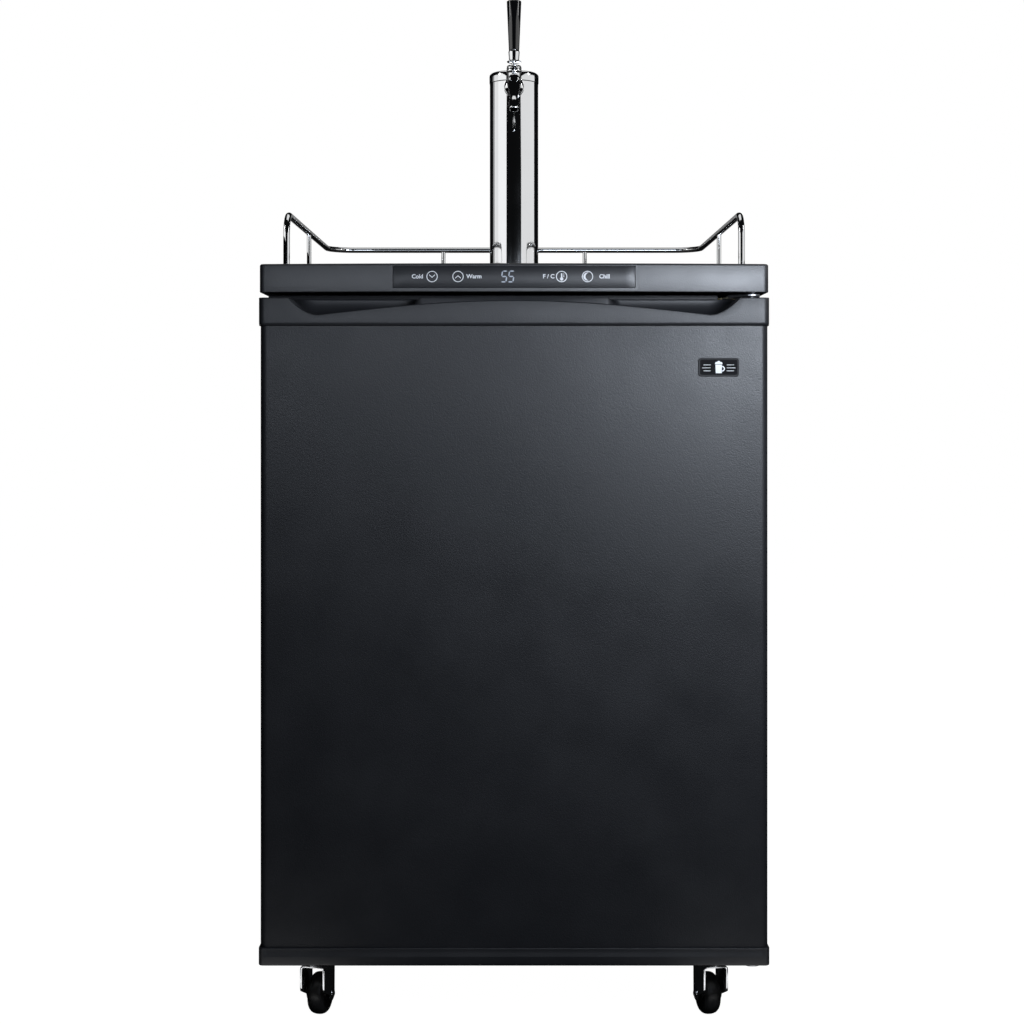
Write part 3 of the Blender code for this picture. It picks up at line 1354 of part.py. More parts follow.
def coupler_body():
    """The keg coupler's body, with its locking base, its bore, its gas barb and the lever's two pivots."""
    radius = COUPLER_RADIUS
    bore = PROBE_RADIUS + RUNNING_GAP
    profile = [
        (bore, 0),
        (radius, 0),
        (radius, 0.010),
        (radius - 0.006, 0.014),
        (radius - 0.008, COUPLER_HEIGHT - 0.004),
        (radius - 0.011, COUPLER_HEIGHT),
        (bore, COUPLER_HEIGHT),
    ]
    body = turned("coupler_body", profile, (COUPLER_X, COUPLER_Y, COUPLER_BASE), "+Z", CHROME, 24, ring=True)
    half = radius + 0.004
    for name, side in (("left", "-X"), ("right", "+X")):
        sign = 1 if side == "+X" else -1
        start = (COUPLER_X + sign * (bore + 0.004), COUPLER_Y, PIVOT_Z)
        fuse(body, drum(f"pivot_{name}", 0.0035, half - bore - 0.004, start, side, CHROME, 12))
    barb_start = (COUPLER_X + bore + 0.004, COUPLER_Y, COUPLER_BASE + 0.026)
    barb = drum("gas_barb", 0.0045, radius + 0.010 - bore, barb_start, "+X", CHROME, 12)
    return fuse(body, barb)


def coupler_probe():
    """The probe that the lever pushes down into the keg, with the beer line's thread at its top."""
    base = COUPLER_BASE + 0.020
    length = COUPLER_HEIGHT - 0.020 + PROBE_RISE
    neck = COUPLER_HEIGHT - 0.020 + 0.018
    profile = [
        (0.003, 0),
        (PROBE_RADIUS, 0),
        (PROBE_RADIUS, neck),
        (0.012, neck),
        (0.012, neck + 0.006),
        (PROBE_RADIUS, neck + 0.006),
        (PROBE_RADIUS, length),
        (0.003, length),
    ]
    probe = turned("coupler_probe", profile, (COUPLER_X, COUPLER_Y, base), "+Z", CHROME, 16, ring=True)
    return centre_on(probe, (COUPLER_X, COUPLER_Y, base))


def coupler_lever():
    """The fork-shaped lever, raised while the coupler is off, that presses the probe down."""
    arm = COUPLER_RADIUS + 0.0005
    thickness = 0.003
    length = 0.085
    lever = bush("coupler_lever", 0.009, 0.0041, thickness, (arm - 0.004, 0, 0), "+X", BLACK_PLASTIC, 16)
    other = bush("lever_eye", 0.009, 0.0041, thickness, (-arm + 0.004, 0, 0), "-X", BLACK_PLASTIC, 16)
    for name, side in (("left", -1), ("right", 1)):
        low_x, high_x = sorted((side * (arm - 0.004), side * (arm - 0.004 + thickness)))
        low = (low_x, -length, -0.005)
        fuse(lever, block(f"lever_bar_{name}", low, (high_x, -0.0065, 0.005), BLACK_PLASTIC))
    grip_low = (-arm + 0.002, -length - 0.008, -0.007)
    grip_high = (arm - 0.002, -length + 0.008, 0.007)
    cross = block("lever_grip", grip_low, grip_high, BLACK_PLASTIC)
    fuse(lever, other, cross)
    pivot = hub("coupler_lever_pivot", (COUPLER_X, COUPLER_Y, PIVOT_Z))
    pivot.rotation_euler = (math.radians(-LEVER_RAISED), 0, 0)
    for part in [lever] + [m.object for m in lever.modifiers]:
        part.parent = pivot
    return lever


# ---------------------------------------------------------------- assembly
def build():
    """Clears the scene and models every sub-part."""
    for old in list(bpy.data.objects):
        bpy.data.objects.remove(old, do_unlink=True)
    side_panel("side_panel_left", -1)
    side_panel("side_panel_right", 1)
    for make in (front_frame, foam_insulation, inner_liner, keg_plate):
        make()
    for make in (back_panel, base_pan, rear_cover, cord_inlet):
        make()
    for make in (top_cover, control_panel, control_board, guard_rail):
        make()
    for make in (tower_flange, tower_column, tower_cap, faucet_shank, shank_collar, coupling_nut):
        make()
    for make in (faucet_body, faucet_bonnet, faucet_shaft):
        make()
    lever_hub = hub("tap_lever_pivot", (0, LEVER_Y, LEVER_Z))
    carry(lever_hub, tap_lever(), tap_ferrule(), tap_handle())
    door_hub = hub("door_hinge_axis", (HINGE_X, HINGE_Y, DOOR_BOTTOM))
    door = [make() for make in (door_skin, door_foam, door_liner, door_gasket)]
    door += [make() for make in (door_top_trim, door_bottom_trim, badge)]
    carry(door_hub, *door)
    top_hinge()
    bottom_hinge()
    casters()
    for make in (compressor, condenser, fan_shroud, condenser_fan):
        make()
    for make in (evaporator_cover, evaporator_coil, evaporator_fan):
        make()
    for make in (co2_cylinder, cylinder_strap, cylinder_valve, valve_handwheel):
        make()
    for make in (regulator_body, regulator_knob):
        make()
    for make in (pressure_gauge, coupler_body, coupler_probe, coupler_lever):
        make()


build()
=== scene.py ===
import json
import logging
import math
from collections.abc import Callable, Sequence
from dataclasses import dataclass, replace
from enum import Enum

import bmesh
import bpy
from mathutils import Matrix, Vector

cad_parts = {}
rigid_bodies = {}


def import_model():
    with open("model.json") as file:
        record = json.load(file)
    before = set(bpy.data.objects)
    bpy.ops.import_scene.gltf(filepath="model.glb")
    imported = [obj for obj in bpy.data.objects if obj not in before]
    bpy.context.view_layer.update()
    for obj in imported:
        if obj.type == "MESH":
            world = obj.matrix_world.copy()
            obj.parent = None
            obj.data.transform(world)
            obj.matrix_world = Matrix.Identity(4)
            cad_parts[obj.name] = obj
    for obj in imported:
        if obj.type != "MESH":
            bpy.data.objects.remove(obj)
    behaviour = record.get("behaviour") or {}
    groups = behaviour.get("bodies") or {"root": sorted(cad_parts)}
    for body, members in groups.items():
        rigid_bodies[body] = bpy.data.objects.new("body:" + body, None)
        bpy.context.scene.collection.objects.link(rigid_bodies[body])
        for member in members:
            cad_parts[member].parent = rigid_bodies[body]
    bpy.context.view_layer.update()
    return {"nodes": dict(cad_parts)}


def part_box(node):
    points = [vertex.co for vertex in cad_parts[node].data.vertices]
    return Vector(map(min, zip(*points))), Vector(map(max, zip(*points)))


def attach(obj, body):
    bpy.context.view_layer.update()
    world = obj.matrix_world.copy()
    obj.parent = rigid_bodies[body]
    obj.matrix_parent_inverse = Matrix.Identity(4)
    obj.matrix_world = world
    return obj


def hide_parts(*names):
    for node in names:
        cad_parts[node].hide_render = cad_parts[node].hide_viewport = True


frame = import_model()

LOG = logging.getLogger("kegerator")

Point = tuple[float, float, float]
Pair = tuple[float, float]
Colour = tuple[float, float, float]

WELD = 1e-6  # metres, between points that are one
INK_RISE = 0.00006  # printed marks above their surface
GAP = 0.0003  # between pieces that touch
COOL: Colour = (0.82, 0.89, 1.0)  # light of the front softboxes


# ---------------------------------------------------------------- finishes
class Grain(Enum):
    """The small texture that a surface has."""

    PEBBLE = "pebble"
    MOULDED = "moulded"
    BRUSHED = "brushed"
    SPANGLE = "spangle"
    POLISHED = "polished"
    CELLS = "cells"


@dataclass(frozen=True)
class Finish:
    """One finish: its colour, its gloss and the relief of its surface.

    Args:
        name: the material's name.
        colour: linear base colour.
        roughness: middle roughness.
        metallic: 1 for bare metal.
        specular: specular level of the shader.
        coat: weight of a clear coat.
        grain: kind of surface relief.
        size: metres between the relief's features.
        relief: metres from the relief's valleys to its tops.
        mottle: share by which the colour varies over the piece.
        spread: how far the roughness varies.
        stretch: pattern scale along each axis, for brushed finishes.
    """

    name: str
    colour: Colour
    roughness: float
    metallic: float = 0.0
    specular: float = 0.5
    coat: float = 0.0
    grain: Grain = Grain.MOULDED
    size: float = 0.0012
    relief: float = 0.00004
    mottle: float = 0.08
    spread: float = 0.05
    stretch: Point = (1.0, 1.0, 1.0)

    def made(self) -> bpy.types.Material:
        """Builds the material once and returns it every time.

        Returns:
            The node material of this finish.
        """
        found = bpy.data.materials.get(self.name)
        if found is not None:
            return found
        material = bpy.data.materials.new(self.name)
        material.use_nodes = True
        tree = material.node_tree
        shader = tree.nodes["Principled BSDF"]
        shader.inputs["Metallic"].default_value = self.metallic
        shader.inputs["Specular IOR Level"].default_value = self.specular
        shader.inputs["Coat Weight"].default_value = self.coat
        shader.inputs["Coat Roughness"].default_value = 0.05
        place = self._place(tree)
        fine = self._fine(tree, place)
        broad = self._noise(tree, place, 14.0, 3.0)
        self._tint(tree, shader, broad, fine)
        self._gloss(tree, shader, broad)
        self._bump(tree, shader, fine)
        material.diffuse_color = (*self.colour, 1.0)
        return material

    def _place(self, tree: bpy.types.NodeTree) -> bpy.types.NodeSocket:
        """Object coordinates, scaled along each axis by the stretch."""
        source = tree.nodes.new("ShaderNodeTexCoord")
        mapping = tree.nodes.new("ShaderNodeMapping")
        mapping.inputs["Scale"].default_value = self.stretch
        tree.links.new(source.outputs["Object"], mapping.inputs["Vector"])
        return mapping.outputs["Vector"]

    def _noise(
        self,
        tree: bpy.types.NodeTree,
        place: bpy.types.NodeSocket,
        scale: float,
        detail: float,
    ) -> bpy.types.NodeSocket:
        """A noise pattern.

        Args:
            tree: the material's nodes.
            place: the coordinates that it reads.
            scale: features per metre.
            detail: octaves of smaller noise.

        Returns:
            Its factor socket.
        """
        noise = tree.nodes.new("ShaderNodeTexNoise")
        noise.inputs["Scale"].default_value = scale
        noise.inputs["Detail"].default_value = detail
        noise.inputs["Roughness"].default_value = 0.5
        tree.links.new(place, noise.inputs["Vector"])
        return noise.outputs["Fac"]

    def _fine(
        self, tree: bpy.types.NodeTree, place: bpy.types.NodeSocket
    ) -> bpy.types.NodeSocket:
        """The small pattern that the relief follows.

        Args:
            tree: the material's nodes.
            place: the coordinates that it reads.

        Returns:
            A socket with the pattern's height.
        """
        if self.grain in (Grain.CELLS, Grain.SPANGLE, Grain.PEBBLE):
            cells = tree.nodes.new("ShaderNodeTexVoronoi")
            cells.feature = "SMOOTH_F1" if self.grain is Grain.PEBBLE else "F1"
            cells.inputs["Scale"].default_value = 1.0 / self.size
            tree.links.new(place, cells.inputs["Vector"])
            if self.grain is Grain.SPANGLE:
                grey = tree.nodes.new("ShaderNodeRGBToBW")
                tree.links.new(cells.outputs["Color"], grey.inputs["Color"])
                return grey.outputs["Val"]
            return cells.outputs["Distance"]
        detail = 1.0 if self.grain is Grain.POLISHED else 4.0
        return self._noise(tree, place, 1.0 / self.size, detail)

    def _range(
        self,
        tree: bpy.types.NodeTree,
        source: bpy.types.NodeSocket,
        low: float,
        high: float,
    ) -> bpy.types.NodeSocket:
        """Spreads a pattern's middle values over a range.

        Args:
            tree: the material's nodes.
            source: a pattern about 0.5.
            low: value where the pattern is lowest.
            high: value where it is highest.

        Returns:
            The spread pattern's socket.
        """
        spread = tree.nodes.new("ShaderNodeMapRange")
        spread.inputs["From Min"].default_value = 0.25
        spread.inputs["From Max"].default_value = 0.75
        spread.inputs["To Min"].default_value = low
        spread.inputs["To Max"].default_value = high
        tree.links.new(source, spread.inputs["Value"])
        return spread.outputs["Result"]

    def _tint(
        self,
        tree: bpy.types.NodeTree,
        shader: bpy.types.Node,
        broad: bpy.types.NodeSocket,
        fine: bpy.types.NodeSocket,
    ) -> None:
        """Varies the colour a little, broadly and with the grain.

        Args:
            tree: the material's nodes.
            shader: the Principled shader.
            broad: the wide pattern.
            fine: the grain.
        """
        both = tree.nodes.new("ShaderNodeMath")
        both.operation = "MULTIPLY_ADD"
        both.inputs[1].default_value = 0.5
        half = tree.nodes.new("ShaderNodeMath")
        half.operation = "MULTIPLY"
        half.inputs[1].default_value = 0.5
        tree.links.new(fine, half.inputs[0])
        tree.links.new(broad, both.inputs[0])
        tree.links.new(half.outputs[0], both.inputs[2])
        mix = tree.nodes.new("ShaderNodeMix")
        mix.data_type = "RGBA"
        dark = [c * (1.0 - self.mottle) for c in self.colour]
        light = [min(1.0, c * (1.0 + self.mottle)) for c in self.colour]
        mix.inputs["A"].default_value = (*dark, 1.0)
        mix.inputs["B"].default_value = (*light, 1.0)
        tree.links.new(
            self._range(tree, both.outputs[0], 0.0, 1.0), mix.inputs["Factor"]
        )
        tree.links.new(mix.outputs["Result"], shader.inputs["Base Color"])

    def _gloss(
        self,
        tree: bpy.types.NodeTree,
        shader: bpy.types.Node,
        broad: bpy.types.NodeSocket,
    ) -> None:
        """Varies the roughness over the piece.

        Args:
            tree: the material's nodes.
            shader: the Principled shader.
            broad: the wide pattern.
        """
        low = max(0.02, self.roughness - self.spread)
        high = self.roughness + self.spread
        tree.links.new(
            self._range(tree, broad, low, high), shader.inputs["Roughness"]
        )

    def _bump(
        self,
        tree: bpy.types.NodeTree,
        shader: bpy.types.Node,
        fine: bpy.types.NodeSocket,
    ) -> None:
        """Gives the grain its relief.

        Args:
            tree: the material's nodes.
            shader: the Principled shader.
            fine: the grain.
        """
        if not self.relief:
            return
        bump = tree.nodes.new("ShaderNodeBump")
        bump.inputs["Strength"].default_value = 1.0
        bump.inputs["Distance"].default_value = self.relief
        bump.invert = self.grain in (Grain.PEBBLE, Grain.CELLS)
        tree.links.new(fine, bump.inputs["Height"])
        tree.links.new(bump.outputs["Normal"], shader.inputs["Normal"])


PAINT = Finish(
    "pebbled_black_paint",
    (0.0125, 0.0130, 0.0150),
    0.44,
    specular=0.42,
    grain=Grain.PEBBLE,
    size=0.0014,
    relief=0.00013,
    mottle=0.12,
)
MOULDING = replace(
    PAINT,
    name="grained_black_moulding",
    size=0.0011,
    relief=0.00009,
    roughness=0.46,
    specular=0.52,
)
WORKTOP = replace(MOULDING, name="grained_worktop_moulding", specular=0.85)
PANEL = Finish(
    "smoked_panel_plastic",
    (0.0125, 0.0130, 0.0150),
    0.36,
    specular=0.40,
    size=0.0009,
    relief=0.00002,
)
CHROME = Finish(
    "polished_chrome",
    (0.86, 0.87, 0.88),
    0.045,
    metallic=1.0,
    grain=Grain.POLISHED,
    size=0.020,
    relief=0.0,
    mottle=0.02,
    spread=0.02,
)
HANDLE = Finish(
    "gloss_black_handle",
    (0.004, 0.004, 0.0045),
    0.07,
    coat=1.0,
    grain=Grain.POLISHED,
    size=0.012,
    relief=0.0,
    mottle=0.1,
    spread=0.02,
)
ZINC = Finish(
    "zinc_plated_steel",
    (0.55, 0.56, 0.58),
    0.34,
    metallic=1.0,
    grain=Grain.SPANGLE,
    size=0.007,
    relief=0.0,
    mottle=0.14,
    spread=0.07,
)
FORK = replace(
    ZINC, name="bright_pressed_steel", colour=(0.82, 0.83, 0.85), roughness=0.20, size=0.003
)
STEEL = Finish(
    "brushed_stainless_steel",
    (0.60, 0.60, 0.61),
    0.27,
    metallic=1.0,
    grain=Grain.BRUSHED,
    size=0.0016,
    relief=0.00001,
    mottle=0.10,
    stretch=(0.03, 1.0, 1.0),
)
LINER = Finish(
    "white_liner_plastic",
    (0.74, 0.75, 0.76),
    0.34,
    size=0.0030,
    relief=0.00003,
    mottle=0.02,
)
FOAM = Finish(
    "insulating_foam",
    (0.72, 0.62, 0.36),
    0.92,
    specular=0.2,
    grain=Grain.CELLS,
    size=0.0018,
    relief=0.0004,
    mottle=0.15,
)
GASKET = Finish(
    "gasket_rubber",
    (0.030, 0.030, 0.031),
    0.58,
    size=0.0008,
    relief=0.00003,
    mottle=0.15,
)
WHEEL = Finish(
    "wheel_rubber",
    (0.011, 0.011, 0.012),
    0.33,
    specular=0.5,
    size=0.0012,
    relief=0.00003,
    mottle=0.15,
)
DARK_PLASTIC = Finish(
    "dark_moulded_plastic",
    (0.016, 0.016, 0.017),
    0.42,
    size=0.0010,
    relief=0.00004,
    mottle=0.12,
)
ALUMINIUM = Finish(
    "drawn_aluminium",
    (0.66, 0.67, 0.68),
    0.34,
    metallic=1.0,
    grain=Grain.BRUSHED,
    size=0.0020,
    relief=0.00001,
    mottle=0.08,
    stretch=(1.0, 1.0, 0.05),
)
BRASS = Finish(
    "turned_brass",
    (0.70, 0.50, 0.20),
    0.24,
    metallic=1.0,
    grain=Grain.BRUSHED,
    size=0.0012,
    relief=0.000008,
    mottle=0.12,
    stretch=(0.1, 0.1, 1.0),
)
BOARD = Finish(
    "circuit_board_green",
    (0.012, 0.11, 0.045),
    0.38,
    grain=Grain.SPANGLE,
    size=0.0035,
    relief=0.00002,
    mottle=0.30,
)
INK = Finish(
    "pale_printing_ink",
    (0.62, 0.63, 0.65),
    0.48,
    grain=Grain.POLISHED,
    size=0.004,
    relief=0.0,
    mottle=0.06,
)
DIGIT = replace(INK, name="display_digit", colour=(0.34, 0.37, 0.42), roughness=0.4)
DIAL = replace(INK, name="dial_white", colour=(0.80, 0.80, 0.79), roughness=0.4)
DARK_INK = replace(
    INK, name="dark_printing_ink", colour=(0.008, 0.008, 0.009), roughness=0.7, specular=0.06
)
ENAMEL = replace(INK, name="white_badge_enamel", colour=(0.70, 0.71, 0.72), roughness=0.55)
BADGE = Finish(
    "dark_badge_metal",
    (0.012, 0.012, 0.013),
    0.50,
    specular=0.2,
    grain=Grain.BRUSHED,
    size=0.0008,
    relief=0.000006,
    mottle=0.10,
    stretch=(0.05, 1.0, 1.0),
)


# ---------------------------------------------------------------- the bench
def clear_bench() -> None:
    """Goes to object mode with nothing selected."""
    if bpy.context.mode != "OBJECT":
        bpy.ops.object.mode_set(mode="OBJECT")
    for obj in bpy.context.view_layer.objects:
        obj.select_set(False)


def eased(profile: Sequence[Pair], radius: float, steps: int = 3) -> list[Pair]:
    """Rounds the inner corners of a profile.

    Args:
        profile: points of a polyline.
        radius: radius wanted at each corner.
        steps: segments on each rounded corner.

    Returns:
        The profile with an arc-like curve in place of each corner.
    """
    result = [profile[0]]
    for before, corner, after in zip(profile, profile[1:], profile[2:]):
        here, back, on = Vector(corner), Vector(before), Vector(after)
        to_back, to_on = back - here, on - here
        if min(to_back.length, to_on.length) < WELD or to_back.angle(to_on) > 3.0:
            result.append(corner)
            continue
        reach = min(radius, 0.45 * to_back.length, 0.45 * to_on.length)
        start = here + to_back.normalized() * reach
        end = here + to_on.normalized() * reach
        for step in range(steps + 1):
            t = step / steps
            place = start * (1 - t) ** 2 + here * 2 * t * (1 - t) + end * t**2
            result.append((place.x, place.y))
    result.append(profile[-1])
    return result


def arc(centre: Pair, radius: float, start: float, end: float, steps: int) -> list[Pair]:
    """Points on a circular arc.

    Args:
        centre: middle of the circle.
        radius: its radius.
        start: first angle in degrees.
        end: last angle in degrees.
        steps: segments between them.

    Returns:
        steps + 1 points.
    """
    angles = [math.radians(start + (end - start) * i / steps) for i in range(steps + 1)]
    return [
        (centre[0] + radius * math.cos(a), centre[1] + radius * math.sin(a)) for a in angles
    ]


def smoothstep(low: float, high: float, value: float) -> float:
    """0 below low, 1 above high, and a smooth rise between."""
    t = min(1.0, max(0.0, (value - low) / (high - low)))
    return t * t * (3.0 - 2.0 * t)


class Axis(Enum):
    """Where a turned piece's profile height points, as Euler angles."""

    UP = (0.0, 0.0, 0.0)
    DOWN = (math.pi, 0.0, 0.0)
    RIGHT = (0.0, math.pi / 2, 0.0)
    LEFT = (0.0, -math.pi / 2, 0.0)
    BACK = (-math.pi / 2, 0.0, 0.0)
    FORWARD = (math.pi / 2, 0.0, 0.0)


class Piece:
    """One piece on the bench, with the operators that shape, dress and place it."""

    def __init__(self, obj: bpy.types.Object, name: str) -> None:
        """Takes an object, names it and its mesh, and applies its place.

        Args:
            obj: the object.
            name: the piece's name.
        """
        self.obj = obj
        obj.name = name
        obj.data.name = name
        self.settle()

    # ---- starts
    @classmethod
    def box(cls, name: str, low: Sequence[float], high: Sequence[float]) -> "Piece":
        """A cube primitive between two corners.

        Args:
            name: the piece's name.
            low: lowest corner.
            high: highest corner.

        Returns:
            The piece.
        """
        clear_bench()
        start, end = Vector(low), Vector(high)
        bpy.ops.mesh.primitive_cube_add(
            size=1.0, location=(start + end) / 2, scale=end - start
        )
        return cls(bpy.context.object, name)

    @classmethod
    def trace(cls, name: str, route: Sequence[Point], closed: bool = False) -> "Piece":
        """A wire through points, extruded from one vertex to the next.

        Args:
            name: the piece's name.
            route: its points.
            closed: joins the last point to the first.

        Returns:
            The wire, still without faces.
        """
        clear_bench()
        bpy.ops.mesh.primitive_plane_add(size=0.01, location=(0, 0, 0))
        obj = bpy.context.object
        bpy.ops.object.mode_set(mode="EDIT")
        bpy.ops.mesh.select_mode(type="VERT")
        bpy.ops.mesh.select_all(action="SELECT")
        bpy.ops.mesh.merge(type="CENTER")
        bpy.ops.transform.translate(value=route[0])
        for start, end in zip(route, route[1:]):
            step = Vector(end) - Vector(start)
            bpy.ops.mesh.extrude_vertices_move(TRANSFORM_OT_translate={"value": step})
        if closed:
            mesh = bmesh.from_edit_mesh(obj.data)
            for vert in mesh.verts:
                vert.select = len(vert.link_edges) == 1
            mesh.select_flush_mode()
            bpy.ops.mesh.edge_face_add()
        bpy.ops.object.mode_set(mode="OBJECT")
        return cls(obj, name)

    @classmethod
    def lathe(
        cls,
        name: str,
        profile: Sequence[Pair],
        centre: Sequence[float],
        axis: Axis = Axis.UP,
        steps: int = 48,
        ring: bool = False,
    ) -> "Piece":
        """A profile spun into a turned piece.

        Args:
            name: the piece's name.
            profile: (radius, height) points.
            centre: where the profile's zero height is.
            axis: where its height points.
            steps: segments round.
            ring: the profile is a closed loop round a bore.

        Returns:
            The turned piece.
        """
        route = [(radius, 0.0, height) for radius, height in profile]
        piece = cls.trace(name, route, closed=ring)
        piece.open()
        bpy.ops.mesh.select_all(action="SELECT")
        bpy.ops.mesh.spin(
            steps=steps, angle=2 * math.pi, center=(0, 0, 0), axis=(0, 0, 1)
        )
        piece.weld()
        piece.obj.rotation_euler = axis.value
        piece.obj.location = centre
        return piece.settle().soften()

    @classmethod
    def plate(
        cls,
        name: str,
        outline: Sequence[Point],
        pull: Point,
    ) -> "Piece":
        """A closed outline, filled and pulled into a solid.

        Args:
            name: the piece's name.
            outline: points round it, in one plane.
            pull: how far and where it is pulled.

        Returns:
            The solid.
        """
        piece = cls.trace(name, outline, closed=True)
        piece.open()
        bpy.ops.mesh.select_all(action="SELECT")
        bpy.ops.mesh.edge_face_add()
        bpy.ops.mesh.extrude_region_move(TRANSFORM_OT_translate={"value": pull})
        return piece.weld()

    @classmethod
    def loft(cls, name: str, columns: Sequence[Sequence[Point]]) -> "Piece":
        """A grid primitive laid over closed sections, and capped at both ends.

        Args:
            name: the piece's name.
            columns: the sections, each a closed loop with as many points as the next.

        Returns:
            The closed shell.
        """
        clear_bench()
        across, around = len(columns) - 1, len(columns[0])
        bpy.ops.mesh.primitive_grid_add(
            x_subdivisions=across, y_subdivisions=around, size=1.0
        )
        obj = bpy.context.object
        for vert in obj.data.vertices:
            i = round((vert.co.x + 0.5) * across)
            j = round((vert.co.y + 0.5) * around)
            vert.co = columns[i][j % around]
        piece = cls(obj, name).weld()
        for end in (columns[0], columns[-1]):
            middle = sum((Vector(point) for point in end), Vector()) / around
            mesh = piece.open()
            bpy.ops.mesh.select_mode(type="EDGE")
            bpy.ops.mesh.select_all(action="DESELECT")
            for edge in mesh.edges:
                place = (edge.verts[0].co + edge.verts[1].co) / 2
                edge.select = edge.is_boundary and abs(place.x - middle.x) < 1e-5
            bpy.ops.mesh.edge_face_add()
            bpy.ops.object.mode_set(mode="OBJECT")
        return piece.weld()

    @classmethod
    def tube(
        cls,
        name: str,
        route: Sequence[Point],
        radius: float,
        closed: bool = False,
        round_steps: int = 4,
    ) -> "Piece":
        """A bent rod of round section, from a curve made mesh.

        Args:
            name: the piece's name.
            route: points on its middle line.
            radius: the rod's radius.
            closed: joins its ends.
            round_steps: bevel resolution of the section.

        Returns:
            The rod.
        """
        clear_bench()
        curve = bpy.data.curves.new(name, "CURVE")
        curve.dimensions = "3D"
        curve.bevel_depth = radius
        curve.bevel_resolution = round_steps
        curve.use_fill_caps = not closed
        spline = curve.splines.new("POLY")
        spline.points.add(len(route) - 1)
        for point, place in zip(spline.points, route):
            point.co = (*place, 1.0)
        spline.use_cyclic_u = closed
        obj = bpy.data.objects.new(name, curve)
        bpy.context.scene.collection.objects.link(obj)
        obj.select_set(True)
        bpy.context.view_layer.objects.active = obj
        bpy.ops.object.convert(target="MESH")
        return cls(bpy.context.object, name).weld().soften()

    @classmethod
    def lettering(cls, name: str, words: str, size: float) -> "Piece":
        """Flat letters at the origin, facing -Y, made mesh.

        Args:
            name: the piece's name.
            words: what they say.
            size: letter size in metres.

        Returns:
            The letters, centred on the origin.
        """
        clear_bench()
        bpy.ops.object.text_add(location=(0, 0, 0), rotation=(math.pi / 2, 0, 0))
        text = bpy.context.object
        text.data.body = words
        text.data.size = size
        text.data.align_x = "CENTER"
        text.data.align_y = "CENTER"
        text.data.extrude = INK_RISE / 2
        text.data.offset = size * 0.022
        text.data.resolution_u = 3
        bpy.ops.object.convert(target="MESH")
        return cls(bpy.context.object, name).weld()

    @classmethod
    def copy_of(
        cls, name: str, node: str, edge: float = 0.0006, angle: float = 35.0
    ) -> "Piece":
        """A softened copy of a frame node: merged, its flats made whole, its edges rounded.

        Args:
            name: the piece's name.
            node: the frame's node.
            edge: radius of the rounded edges.
            angle: least angle in degrees of an edge that is rounded.

        Returns:
            The copy.
        """
        clear_bench()
        source = frame["nodes"][node]
        obj = source.copy()
        obj.data = source.data.copy()
        obj.parent = None
        for key in list(obj.keys()):
            del obj[key]
        bpy.context.scene.collection.objects.link(obj)
        piece = cls(obj, name)
        obj.data.materials.clear()
        piece.open()
        bpy.ops.mesh.select_all(action="SELECT")
        bpy.ops.mesh.remove_doubles(threshold=1e-5)
        bpy.ops.mesh.dissolve_limited(angle_limit=math.radians(0.5))
        bpy.ops.object.mode_set(mode="OBJECT")
        if edge:
            piece.apply(
                "BEVEL",
                width=edge,
                segments=2,
                limit_method="ANGLE",
                angle_limit=math.radians(angle),
                use_clamp_overlap=True,
            )
        return piece.soften(angle)

    # ---- shaping
    def open(self) -> bmesh.types.BMesh:
        """Takes the piece into edit mode, alone, and returns its mesh."""
        clear_bench()
        self.obj.select_set(True)
        bpy.context.view_layer.objects.active = self.obj
        bpy.ops.object.mode_set(mode="EDIT")
        return bmesh.from_edit_mesh(self.obj.data)

    def settle(self) -> "Piece":
        """Applies place, turn and scale to the mesh."""
        clear_bench()
        self.obj.select_set(True)
        bpy.context.view_layer.objects.active = self.obj
        bpy.ops.object.transform_apply(location=True, rotation=True, scale=True)
        return self

    def weld(self, distance: float = WELD) -> "Piece":
        """Merges points that are one and turns every face outwards."""
        self.open()
        bpy.ops.mesh.select_all(action="SELECT")
        bpy.ops.mesh.remove_doubles(threshold=distance)
        bpy.ops.mesh.normals_make_consistent(inside=False)
        bpy.ops.object.mode_set(mode="OBJECT")
        return self

    def soften(self, angle: float = 32.0) -> "Piece":
        """Smooth shading that keeps corners above an angle in degrees."""
        clear_bench()
        self.obj.select_set(True)
        bpy.context.view_layer.objects.active = self.obj
        bpy.ops.object.shade_smooth_by_angle(angle=math.radians(angle))
        return self

    def bevel(
        self,
        radius: float,
        test: Callable[[Vector, Vector], bool],
        steps: int = 3,
    ) -> "Piece":
        """Rounds the edges that a test picks.

        Args:
            radius: radius of the rounding.
            test: takes an edge's middle and its direction.
            steps: segments across the rounding.

        Returns:
            The piece itself.
        """
        mesh = self.open()
        bpy.ops.mesh.select_mode(type="EDGE")
        bpy.ops.mesh.select_all(action="DESELECT")
        for edge in mesh.edges:
            start, end = edge.verts[0].co, edge.verts[1].co
            corner = len(edge.link_faces) == 2 and edge.calc_face_angle(0.0) > 0.4
            if corner and test((start + end) / 2, (end - start).normalized()):
                edge.select = True
        bpy.ops.mesh.bevel(
            offset=radius, segments=steps, affect="EDGES", clamp_overlap=True
        )
        bpy.ops.object.mode_set(mode="OBJECT")
        return self

